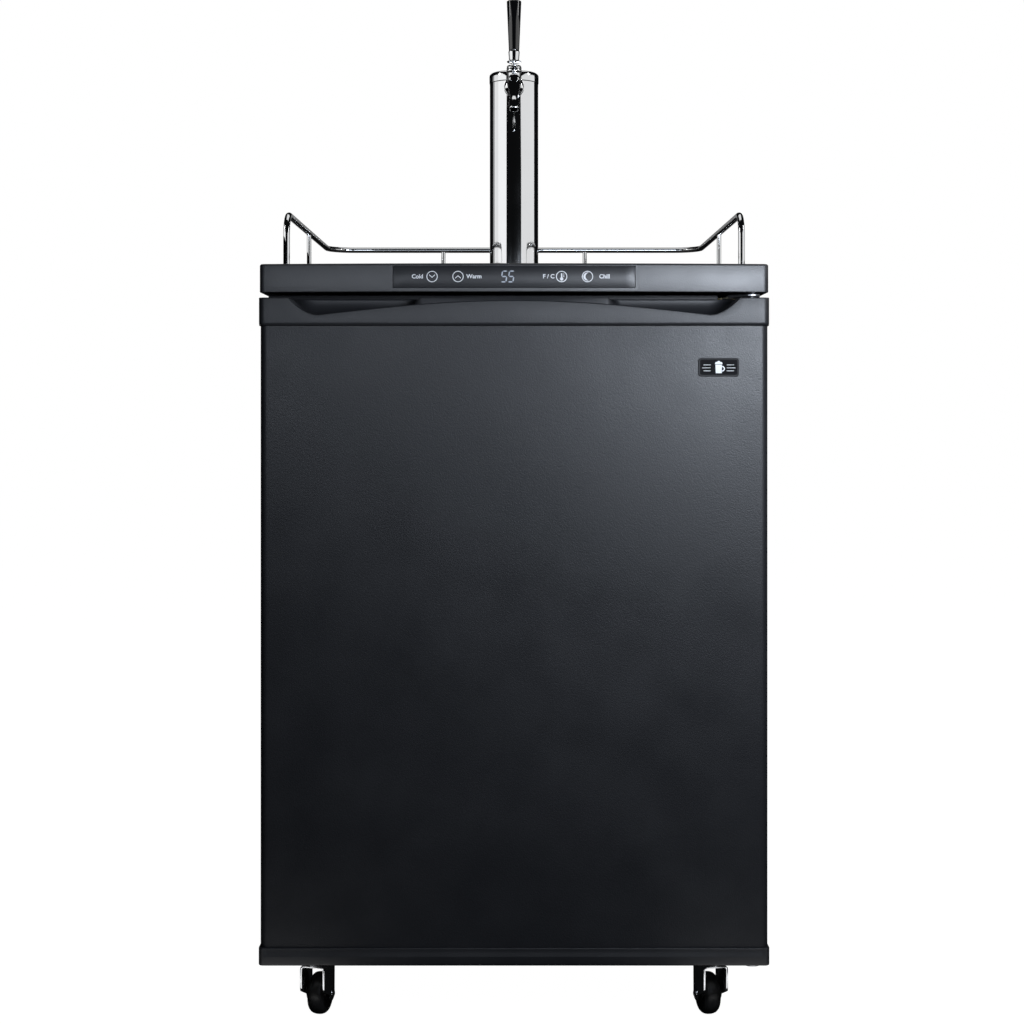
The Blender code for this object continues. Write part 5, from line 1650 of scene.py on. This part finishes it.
@dataclass
class Tap:
    """What the hand pulls: the lever, its ferrule and the black handle."""

    steps: int = 64

    def build(self) -> None:
        """Turns the three pieces above each other on the lever's axis."""
        lever = Room.of("tap_lever")
        x, y = lever.middle.x, lever.middle.y
        ball = lever.size.y / 2
        pivot = lever.low.z + 0.0125
        head = lever.high.z - pivot
        profile = [(0, -0.0125), (0.0019, -0.0125), (0.0020, -0.0046)]
        profile += [(ball * math.cos(a), ball * math.sin(a)) for a in (-0.75, -0.4, 0.0, 0.4, 0.75)]
        profile += [(0.0030, 0.0042), (0.0030, head - 0.0012), (0.0030, head), (0, head)]
        stud = Piece.lathe("tap_lever_stud", eased(profile, 0.0005), (x, y, pivot), steps=self.steps)
        stud.dress(CHROME).fit("tap", "chrome", "tap_lever")
        ferrule = Room.of("tap_ferrule")
        tall = ferrule.size.z
        profile = [
            (0, 0), (0.0086, 0), (0.0092, 0.0006), (0.0088, 0.0014), (0.0064, 0.0019),
            (0.0063, 0.0028), (0.0071, tall - 0.0010), (0.0067, tall), (0, tall),
        ]
        place = (x, y, ferrule.low.z)
        collar = Piece.lathe("tap_handle_ferrule", eased(profile, 0.0004), place, steps=self.steps)
        collar.dress(CHROME).fit("tap", "chrome", "tap_ferrule")
        handle = Room.of("tap_handle")
        tall = handle.size.z
        profile = [
            (0, 0), (0.0063, 0), (0.0066, 0.0010), (0.0079, tall * 0.5), (0.0092, tall - 0.0008),
            (0.0086, tall), (0, tall),
        ]
        place = (x, y, handle.low.z)
        grip = Piece.lathe("tap_black_handle", eased(profile, 0.0010, 4), place, steps=self.steps)
        grip.dress(HANDLE).fit("tap", "handle_gloss", "tap_handle")


# ---------------------------------------------------------------- door
@dataclass
class DoorTrim:
    """The moulded strip along the door's top, with the two finger scoops behind its lip."""

    face_corner: float = 0.008
    low_round: float = 0.0040
    edge_round: float = 0.0014
    grip_half: float = 0.2650
    end_run: float = 0.0350
    end_drop: float = 0.0200
    centre_drop: float = 0.0031
    lip_width: float = 0.0135
    step_width: float = 0.0045
    pocket_floor: float = 0.0220
    pocket_back: float = -0.2799
    crest: float = 0.0015
    middle_start: float = 0.108
    middle_end: float = 0.130
    scoop_steps: int = 12
    pin_hole: float = 0.0046

    def build(self) -> None:
        """Lofts the strip over many sections, and cuts the hinge pin's hole."""
        self.room = Room.of("door_top_trim")
        trim = Piece.loft("door_top_grip", [self._section(x) for x in self._stations()])
        hinge = Room.of("top_hinge")
        axis = (hinge.high.x - 0.010, hinge.low.y + 0.010, self.room.high.z - 0.013)
        hole = [(0, 0), (self.pin_hole, 0), (self.pin_hole, 0.02), (0, 0.02)]
        trim.cut(Piece.lathe("hinge_pin_hole", hole, axis, steps=32))
        trim.soften(30).dress(MOULDING).fit("door", "black_plastic", "door_top_trim")

    def _stations(self) -> list[float]:
        """Where the sections stand along x, closest at the corners and the scoops' ends."""
        half = self.room.high.x
        corner = [
            half - self.face_corner * (1 - math.cos(i / 8 * math.pi / 2)) for i in range(8)
        ]
        spans = (
            (half - self.face_corner, self.grip_half, 4),
            (self.grip_half, self.grip_half - self.end_run, 26),
            (self.grip_half - self.end_run, self.middle_end, 14),
            (self.middle_end, self.middle_start, 14),
            (self.middle_start, 0.0, 8),
        )
        right = corner
        for start, end, steps in spans:
            right = right + [start + (end - start) * i / steps for i in range(steps)]
        return [-x for x in right] + [0.0] + right[::-1]

    def _drop(self, x: float) -> float:
        """How far the lip lies under the strip's top at x."""
        inside = self.grip_half - abs(x)
        if inside <= 0:
            return 0.0
        if inside < self.end_run:
            return self.end_drop * math.sin(inside / self.end_run * math.pi / 2) ** 0.9
        share = (inside - self.end_run) / (self.grip_half - self.end_run)
        fall = self.end_drop - self.centre_drop
        return self.end_drop - fall * math.sin(share * math.pi / 2)

    def _depth(self, x: float) -> float:
        """1 where the scoop is deepest, 0 outside it, with soft ends."""
        inside = self.grip_half - abs(x)
        if inside <= 0:
            return 0.0
        end = math.sin(min(1.0, inside / self.end_run) * math.pi / 2)
        return end * smoothstep(self.middle_start, self.middle_end, abs(x))

    def _section(self, x: float) -> list[Point]:
        """The closed section at x.

        Args:
            x: where it stands.

        Returns:
            Points round it, from the face's lower edge upwards.
        """
        room = self.room
        over = max(0.0, abs(x) - room.high.x + self.face_corner)
        reach = self.face_corner**2 - min(over, self.face_corner) ** 2
        face = room.low.y + self.face_corner - math.sqrt(max(0.0, reach))
        low, top, back = room.low.z, room.high.z, room.high.y
        drop, depth = self._drop(x), self._depth(x)
        lip = top - drop
        floor = lip - (self.pocket_floor - drop) * depth
        inner = face + self.step_width + (self.lip_width - self.step_width) * depth
        edge = self.edge_round
        points = arc((face + self.low_round, low + self.low_round), self.low_round, 270, 180, 6)
        points.append((face, (low + lip) / 2))
        points += arc((face + edge, lip - edge), edge, 180, 90, 4)
        ease = min(edge, lip - floor)
        for turn in (90, 68, 45, 22, 0):
            angle = math.radians(turn)
            y = inner - edge + edge * math.cos(angle)
            points.append((y, lip - ease * (1 - math.sin(angle))))
        points.append((inner + 0.0004, floor))
        run = self.pocket_back - inner - 0.0004
        crest = top - self.crest * depth
        for step in range(1, self.scoop_steps + 1):
            share = step / self.scoop_steps
            turn = share * math.pi / 2
            hollow = floor + (crest - floor) * (1 - math.cos(turn))
            rise = min(1.0, step / 2.5)
            ledge = lip + (top - lip) * math.sin(rise * math.pi / 2)
            near = 0.0006 * step if step <= 3 else run * share
            y = inner + 0.0004 + run * math.sin(turn) * depth + near * (1 - depth)
            points.append((y, hollow * depth + ledge * (1 - depth)))
        points.append((self.pocket_back + 0.0012, top))
        points += arc((back - 0.001, top - 0.001), 0.001, 90, 0, 3)
        points += arc((back - 0.001, low + 0.001), 0.001, 0, -90, 3)
        return [(x, y, z) for y, z in points]


@dataclass
class DoorFoot:
    """The moulded strip along the door's bottom, with a ledge that catches the light."""

    face_corner: float = 0.006
    ledge: float = 0.0014
    ledge_top: float = 0.0976
    ledge_low: float = 0.0944
    low_round: float = 0.003
    ledge_end: float = 0.0100
    pin_hole: float = 0.0046

    def build(self) -> None:
        """Lofts the strip, and cuts the lower pin's hole."""
        room = Room.of("door_bottom_trim")
        self.room = room
        half = room.high.x
        corner = [
            half - self.face_corner * (1 - math.cos(i / 8 * math.pi / 2)) for i in range(8)
        ]
        ledge = [half - self.face_corner - 0.0015 * i for i in range(6)]
        right = corner + ledge + [0.2, 0.1]
        stations = [-x for x in right] + [0.0] + right[::-1]
        trim = Piece.loft("door_bottom_strip", [self._section(x) for x in stations])
        hinge = Room.of("bottom_hinge")
        axis = (hinge.high.x - 0.010, hinge.low.y + 0.010, room.low.z - 0.003)
        hole = [(0, 0), (self.pin_hole, 0), (self.pin_hole, 0.016), (0, 0.016)]
        trim.cut(Piece.lathe("lower_pin_hole", hole, axis, steps=32))
        trim.soften(30).dress(MOULDING).fit("door", "black_plastic", "door_bottom_trim")

    def _section(self, x: float) -> list[Point]:
        """The closed section at x."""
        room = self.room
        over = max(0.0, abs(x) - room.high.x + self.face_corner)
        reach = self.face_corner**2 - min(over, self.face_corner) ** 2
        face = room.low.y + self.face_corner - math.sqrt(max(0.0, reach))
        low, top, back = room.low.z, room.high.z, room.high.y
        inside = room.high.x - abs(x)
        ledge = self.ledge * smoothstep(self.face_corner * 0.6, self.ledge_end, inside)
        points = arc((face + self.low_round, low + self.low_round), self.low_round, 270, 180, 5)
        points += [(face, self.ledge_low - 0.0005), (face, self.ledge_low)]
        points += [(face + ledge, self.ledge_top), (face + ledge, top - 0.0008)]
        points += [(face + ledge + 0.0008, top)]
        points += arc((back - 0.001, top - 0.001), 0.001, 90, 0, 3)
        points += arc((back - 0.001, low + 0.001), 0.001, 0, -90, 3)
        return [(x, y, z) for y, z in points]


@dataclass
class Badge:
    """A small metal plate with a plain mug on it."""

    corner: float = 0.0035
    rim: float = 0.0016
    sunk: float = 0.0003
    mug: float = 0.0070

    def build(self) -> None:
        """Makes the rimmed plate, its dark field and the mug."""
        room = Room.of("badge")
        middle, size = room.middle, room.size
        plate = Piece.box("door_badge", room.low, room.high)
        plate.bevel(self.corner, lambda m, d: abs(d.y) > 0.9, steps=6)
        front = room.low.y
        plate.sink(lambda m, n: n.y < -0.9, self.rim, (0, self.sunk, 0))
        plate.bevel(0.0003, lambda m, d: m.y < front + 1e-5, steps=2)
        plate.soften(40).dress(BADGE).fit("door", "badge_metal", "badge")
        wide, tall = size.x / 2 - self.rim - 0.0005, size.z / 2 - self.rim - 0.0005
        level = front + self.sunk - INK_RISE
        rounded = []
        for x, z, start in ((wide, tall, 0), (-wide, tall, 90), (-wide, -tall, 180), (wide, -tall, 270)):
            corner = (x - math.copysign(0.002, x), z - math.copysign(0.002, z))
            rounded += arc(corner, 0.002, start, start + 90, 5)
        outline = [(middle.x + x, level, middle.z + z) for x, z in rounded]
        field = Piece.plate("badge_field", outline, (0, INK_RISE, 0))
        field.dress(DARK_INK).fit("door", "badge_metal")
        self._mug(middle, level - INK_RISE)

    def _mug(self, middle: Vector, level: float) -> None:
        """The mug with its handle, its froth and two lines beside it.

        Args:
            middle: the badge's middle.
            level: y of the raised shapes.
        """
        unit = self.mug

        def flat(name: str, outline: Sequence[Pair]) -> Piece:
            """A raised shape on the badge."""
            route = [(middle.x + x, level, middle.z + z) for x, z in outline]
            return Piece.plate(name, route, (0, INK_RISE, 0))

        foot, lip, brim = 0.50 * unit, 0.55 * unit, 0.45 * unit
        cup = [(-foot, -unit), (foot, -unit), (lip, brim), (-lip, brim)]
        parts = [flat("mug_cup", cup)]
        froth = arc((-0.36 * unit, 0.62 * unit), 0.26 * unit, 200, 60, 8)
        froth += arc((0.0, 0.78 * unit), 0.28 * unit, 150, 30, 8)
        froth += arc((0.36 * unit, 0.62 * unit), 0.26 * unit, 120, -20, 8)
        parts.append(flat("mug_froth", froth))
        outer = arc((0.55 * unit, -0.25 * unit), 0.48 * unit, -90, 90, 12)
        inner = arc((0.55 * unit, -0.25 * unit), 0.30 * unit, 90, -90, 12)
        parts.append(flat("mug_handle", outer + inner))
        for side in (-1, 1):
            for z, reach in ((0.35, 1.5), (-0.15, 1.8), (-0.65, 1.5)):
                start = side * 1.35 * unit
                end = start + side * reach * unit * 0.8
                low = z * unit
                high = low + 0.0006
                line = [(start, low), (end, low), (end, high), (start, high)]
                parts.append(flat(f"badge_line_{side}_{z}", line))
        picture = parts[0].join(*parts[1:])
        picture.obj.name = "badge_mug"
        picture.dress(ENAMEL).fit("door", "badge_metal")


@dataclass
class Door:
    """The foamed door with its painted skin, its trims, its liner, its gasket and its badge."""

    trim: DoorTrim
    foot: DoorFoot
    badge: Badge
    corner: float = 0.009
    sheet: float = 0.0009
    overlap: float = 0.0012

    def build(self) -> None:
        """Builds each layer from the front to the back."""
        self.trim.build()
        self.foot.build()
        room = Room.of("door_skin")
        wider = Vector((self.overlap, 0.0, 0.0))
        skin = Piece.box("door_painted_skin", room.low - wider, room.high + wider)
        skin.bevel(
            self.corner,
            lambda m, d: abs(d.z) > 0.9 and m.y < room.low.y + 1e-4,
            steps=12,
        )
        push = (0.0, -(room.size.y - self.sheet), 0.0)
        skin.sink(lambda m, n: n.y > 0.9, self.sheet, push)
        hollow = room.low.y + self.sheet
        inside = room.high.x + self.overlap - self.sheet
        skin.bevel(
            self.corner - self.sheet,
            lambda m, d: abs(d.z) > 0.9 and abs(m.y - hollow) < 1e-4 and abs(abs(m.x) - inside) < 1e-4,
            steps=12,
        )
        skin.soften(30).dress(PAINT).fit("door", "painted_door", "door_skin")
        foam = Piece.copy_of("door_foam_core", "door_foam", edge=0.0)
        core = Room.of("door_foam")
        foam.bevel(
            self.corner,
            lambda m, d: abs(d.z) > 0.9 and m.y < core.low.y + 1e-4 and abs(m.x) > core.high.x - 1e-4,
            steps=8,
        )
        foam.soften()
        foam.dress(FOAM).fit("door", "foam", "door_foam")
        liner = Piece.copy_of("door_inner_liner", "door_liner", edge=0.0030)
        liner.dress(LINER).fit("door", "white_liner", "door_liner")
        gasket = Piece.copy_of("door_gasket_seal", "door_gasket", edge=0.0020)
        gasket.dress(GASKET).fit("door", "gasket_rubber", "door_gasket")
        self.badge.build()


# ---------------------------------------------------------------- cabinet
@dataclass
class Cabinet:
    """The foamed cabinet: its sheets, its liner, its floor plate and its hinges."""

    liner_round: float = 0.012
    wall: float = 0.0015
    step_front: float = 0.1715

    def build(self) -> None:
        """Dresses the sheets and models the liner."""
        sheets = (
            ("left_side_panel", "side_panel_left", PAINT, "painted_cabinet", 0.0008),
            ("right_side_panel", "side_panel_right", PAINT, "painted_cabinet", 0.0008),
            ("cabinet_front_frame", "front_frame", PAINT, "painted_cabinet", 0.0003),
            ("machine_cover", "rear_cover", PAINT, "painted_cabinet", 0.0006),
            ("cabinet_back_sheet", "back_panel", ZINC, "zinc_steel", 0.0003),
            ("cabinet_base_pan", "base_pan", ZINC, "zinc_steel", 0.0006),
            ("cabinet_foam", "foam_insulation", FOAM, "foam", 0.0),
            ("mains_inlet", "cord_inlet", DARK_PLASTIC, "black_plastic", 0.0008),
            ("keg_floor_plate", "keg_plate", STEEL, "stainless_steel", 0.0005),
            ("upper_hinge", "top_hinge", ZINC, "zinc_steel", 0.0006),
            ("lower_hinge", "bottom_hinge", ZINC, "zinc_steel", 0.0006),
        )
        for name, node, finish, slot, edge in sheets:
            Piece.copy_of(name, node, edge=edge).dress(finish).fit("root", slot, node)
        self._liner()

    def _liner(self) -> None:
        """The white tub, rounded inside, with the step over the machine bay."""
        room = Room.of("inner_liner")
        wall = self.wall
        side = room.high.x - wall
        front, back = room.low.y, room.high.y - wall
        floor, ceiling = room.low.z + wall, room.high.z - wall
        step = Room.of("co2_cylinder").low.z - GAP
        outline = [
            (front, floor), (self.step_front, floor), (self.step_front, step),
            (back, step), (back, ceiling), (front, ceiling),
        ]
        route = [(-side, y, z) for y, z in outline]
        tub = Piece.plate("inner_tub", route, (2 * side, 0, 0))
        tub.bevel(self.liner_round, lambda m, d: m.y > front + 1e-3, steps=5)
        mesh = tub.open()
        bpy.ops.mesh.select_mode(type="FACE")
        bpy.ops.mesh.select_all(action="DESELECT")
        for face in mesh.faces:
            face.select = face.normal.y < -0.9 and face.calc_center_median().y < front + 1e-3
        bpy.ops.mesh.delete(type="FACE")
        bpy.ops.mesh.select_all(action="SELECT")
        bpy.ops.mesh.flip_normals()
        bpy.ops.object.mode_set(mode="OBJECT")
        tub.apply("SOLIDIFY", thickness=wall, offset=-1.0, use_even_offset=True)
        tub.soften(30).dress(LINER).fit("root", "white_liner", "inner_liner")


# ---------------------------------------------------------------- casters
@dataclass
class Caster:
    """One swivel caster: a pressed fork, its axle and its wheel.

    Args:
        place: front_left, front_right, rear_left or rear_right.
        swivel: x and y of its swivel axis.
        yaw: turn about that axis at rest, in radians.
    """

    place: str
    swivel: Pair
    yaw: float
    radius: float = 0.025
    tread: float = 0.022
    gap: float = 0.002
    sheet: float = 0.0024
    crown: float = 0.0665
    shoulder: float = 0.027
    race: float = 0.0125
    race_rise: float = 0.0010
    trail: float = 0.020
    bore: float = 0.0045
    axle: float = 0.0040

    def build(self) -> None:
        """Builds the fork and the wheel at the origin and turns them to their place."""
        body = f"caster_{self.place}"
        self._to_place(self._fork()).fit(body, "zinc_steel", f"{body}_fork")
        wheel = self._to_place(self._wheel())
        wheel.fit(f"wheel_{self.place}", "wheel_rubber", f"{body}_wheel")

    def _to_place(self, piece: Piece) -> Piece:
        """Turns a piece by the yaw and moves it to the swivel axis."""
        cos, sin = math.cos(self.yaw), math.sin(self.yaw)
        x, y = self.swivel
        return piece.shape(lambda v: (x + v.x * cos - v.y * sin, y + v.x * sin + v.y * cos, v.z))

    def _fork(self) -> Piece:
        """A pressed fork: crown and two legs in one, with race, axle and nuts."""
        inner = self.tread / 2 + self.gap
        outer = inner + self.sheet
        low = self.radius
        bend = self.crown - self.shoulder
        side = arc((self.trail, low), 0.0084, 0, -180, 12)
        side += arc((-self.race + 0.006, bend), 0.006, 225, 180, 4)
        side += [(-self.race, self.crown), (self.trail + 0.009, self.crown)]
        side += [(self.trail + 0.009, self.crown - 0.006)]
        route = [(-outer, y, z) for y, z in side]
        fork = Piece.plate(f"caster_{self.place}_pressed_fork", route, (2 * outer, 0, 0))
        top = self.crown
        fork.bevel(0.0046, lambda m, d: abs(d.y) > 0.9 and m.z > top - 1e-4, steps=5)
        room = Piece.box("wheel_room", (-inner, -0.03, -0.01), (inner, 0.05, self.crown - self.sheet))
        room.bevel(0.0024, lambda m, d: abs(d.y) > 0.9 and m.z > 0.03, steps=4)
        fork.cut(room)
        fork.bevel(0.0004, lambda m, d: True, steps=2)
        fork.soften().dress(FORK)
        rise = self.race_rise
        profile = [
            (0, -0.0008), (self.race, -0.0008), (self.race, rise * 0.6),
            (self.race - 0.001, rise), (0, rise),
        ]
        race = Piece.lathe("swivel_race", eased(profile, 0.0004), (0, 0, self.crown), steps=40)
        parts = [race]
        for way in (-1, 1):
            axis = Axis.RIGHT if way > 0 else Axis.LEFT
            nut = [
                (0, 0), (0.0056, 0), (0.0056, 0.0011), (0.0046, 0.0015),
                (self.axle - 0.0008, 0.0015), (0.0026, 0.0024), (0, 0.0027),
            ]
            start = (way * (outer - 0.0001), self.trail, low)
            parts.append(Piece.lathe("axle_nut", eased(nut, 0.0003), start, axis, 24))
        pin = [(0, 0), (self.axle, 0), (self.axle, 2 * inner + 0.001), (0, 2 * inner + 0.001)]
        start = (-inner - 0.0005, self.trail, low)
        parts.append(Piece.lathe("axle", pin, start, Axis.RIGHT, 24))
        for part in parts:
            part.dress(FORK)
        return fork.join(*parts)

    def _wheel(self) -> Piece:
        """A solid wheel: rounded tread, dished sides and a hub on the axle."""
        half, reach = self.tread / 2, self.radius
        profile = [
            (self.bore, -half), (0.0085, -half), (0.0095, -half + 0.0012), (0.0100, -half + 0.0035),
            (0.0165, -half + 0.0035), (0.0180, -half + 0.0014), (0.0195, -half + 0.0004),
            (reach - 0.0038, -half + 0.0012), (reach - 0.0014, -half + 0.0038),
            (reach - 0.0003, -half + 0.0070), (reach, -half + 0.0100),
        ]
        mirrored = [(r, -z) for r, z in reversed(profile)]
        loop = eased(profile + mirrored, 0.0010) + [(self.bore, -half + 0.001)]
        start = (0, self.trail, self.radius)
        wheel = Piece.lathe(f"caster_{self.place}_solid_wheel", loop, start, Axis.RIGHT, 64, ring=True)
        return wheel.dress(WHEEL)


@dataclass
class CasterSet:
    """The four casters, turned a little outwards."""

    side: float = 0.240
    front: float = -0.252
    rear: float = 0.262
    yaw: float = math.radians(12.0)

    def build(self) -> None:
        """Builds each caster at its corner."""
        corners = (
            ("front_left", -self.side, self.front, -self.yaw),
            ("front_right", self.side, self.front, self.yaw),
            ("rear_left", -self.side, self.rear, self.yaw),
            ("rear_right", self.side, self.rear, -self.yaw),
        )
        for place, x, y, yaw in corners:
            Caster(place, (x, y), yaw).build()


# ---------------------------------------------------------------- cooling
@dataclass
class CoolingSystem:
    """Compressor, condenser and fan in the bay; coil, cover and fan inside the cabinet."""

    def build(self) -> None:
        """Dresses the machine parts."""
        parts = (
            ("compressor_shell", "compressor", PAINT, "root", "painted_cabinet", 0.0030),
            ("condenser_fins", "condenser", ALUMINIUM, "root", "aluminium", 0.0003),
            ("condenser_fan_shroud", "fan_shroud", DARK_PLASTIC, "root", "black_plastic", 0.0008),
            ("condenser_fan_rotor", "condenser_fan", DARK_PLASTIC, "condenser_fan", "black_plastic", 0.0004),
            ("evaporator_air_cover", "evaporator_cover", LINER, "root", "white_liner", 0.0020),
            ("evaporator_fins", "evaporator_coil", ALUMINIUM, "root", "aluminium", 0.0003),
            (
                "evaporator_fan_rotor", "evaporator_fan", DARK_PLASTIC, "evaporator_fan",
                "black_plastic", 0.0004,
            ),
        )
        for name, node, finish, body, slot, edge in parts:
            Piece.copy_of(name, node, edge=edge).dress(finish).fit(body, slot, node)


# ---------------------------------------------------------------- gas and coupler
@dataclass
class GasSupply:
    """The gas cylinder with its strap, valve, regulator and gauge."""

    steps: int = 56
    dial_depth: float = 0.0013
    dial_margin: float = 0.0035

    def build(self) -> None:
        """Turns the cylinder and dresses the fittings."""
        room = Room.of("co2_cylinder")
        reach, tall = room.size.x / 2, room.size.z
        base = (room.middle.x, room.middle.y, room.low.z)
        shoulder = [
            (reach * math.cos(a), tall - 0.045 + 0.038 * math.sin(a))
            for a in [0.1 * i for i in range(13)]
        ]
        profile = [(0, 0.002), (reach - 0.016, 0.002), (reach - 0.012, 0), (reach - 0.004, 0)]
        profile += [(reach - 0.0012, 0.0012), (reach, 0.004)] + shoulder
        profile += [(0.0155, tall - 0.006), (0.0150, tall), (0, tall)]
        bottle = Piece.lathe("gas_cylinder", profile, base, steps=self.steps)
        bottle.dress(ALUMINIUM).fit("root", "aluminium", "co2_cylinder")
        fittings = (
            ("gas_cylinder_strap", "cylinder_strap", STEEL, "root", "stainless_steel", 0.0004),
            ("gas_cylinder_valve", "cylinder_valve", BRASS, "root", "brass", 0.0006),
            ("gas_valve_handwheel", "valve_handwheel", DARK_PLASTIC, "handwheel", "black_plastic", 0.0012),
            ("gas_regulator_body", "regulator_body", CHROME, "root", "chrome", 0.0008),
            ("gas_regulator_knob", "regulator_knob", DARK_PLASTIC, "regulator_knob", "black_plastic", 0.0006),
            ("keg_coupler_body", "coupler_body", CHROME, "root", "chrome", 0.0008),
            ("keg_coupler_probe", "coupler_probe", CHROME, "coupler_probe", "chrome", 0.0005),
            ("keg_coupler_lever", "coupler_lever", DARK_PLASTIC, "coupler_lever", "black_plastic", 0.0010),
        )
        for name, node, finish, body, slot, edge in fittings:
            Piece.copy_of(name, node, edge=edge).dress(finish).fit(body, slot, node)
        gauge = Piece.copy_of("pressure_gauge_case", "pressure_gauge", edge=0.0006)
        gauge.dress(CHROME).fit("root", "chrome", "pressure_gauge")
        self._dial()

    def _dial(self) -> None:
        """The gauge's white face with plain ticks and a needle."""
        room = Room.of("pressure_gauge")
        x, z = room.middle.x, room.middle.z
        level = room.low.y + self.dial_depth
        reach = room.size.x / 2 - self.dial_margin
        profile = [(0, 0), (reach, 0), (reach, INK_RISE), (0, INK_RISE)]
        face = Piece.lathe("gauge_dial", profile, (x, level, z), Axis.FORWARD, self.steps)
        face.dress(DIAL).fit("root", "chrome")

        def bar(name: str, angle: float, start: float, end: float, wide: float) -> Piece:
            """A thin bar on the dial, from one radius to another."""
            along = Vector((math.sin(angle), 0.0, math.cos(angle)))
            across = Vector((along.z, 0.0, -along.x)) * wide / 2
            middle = Vector((x, level - 2.5 * INK_RISE, z))
            near, far = middle + along * start, middle + along * end
            corners = (near - across, far - across, far + across, near + across)
            return Piece.plate(name, [tuple(v) for v in corners], (0, INK_RISE, 0))

        sweep = [math.radians(-135 + 27 * i) for i in range(11)]
        ticks = [bar(f"dial_tick_{i}", a, reach * 0.78, reach * 0.95, 0.0006) for i, a in enumerate(sweep)]
        needle = bar("gauge_needle", math.radians(-60), -reach * 0.2, reach * 0.7, 0.0009)
        needle.join(*ticks).dress(DARK_INK).fit("root", "chrome")


def main() -> None:
    """Builds every sub-assembly in order."""
    logging.basicConfig(level=logging.INFO, format="%(name)s: %(message)s")
    fascia = Fascia()
    assemblies = (
        Studio(),
        Worktop(fascia),
        ControlPanel(fascia),
        GuardRail(),
        Tower(),
        Faucet(),
        Tap(),
        Door(DoorTrim(), DoorFoot(), Badge()),
        Cabinet(),
        CasterSet(),
        CoolingSystem(),
        GasSupply(),
    )
    for assembly in assemblies:
        LOG.info("building %s", type(assembly).__name__)
        assembly.build()


if __name__ == "__main__":
    main()
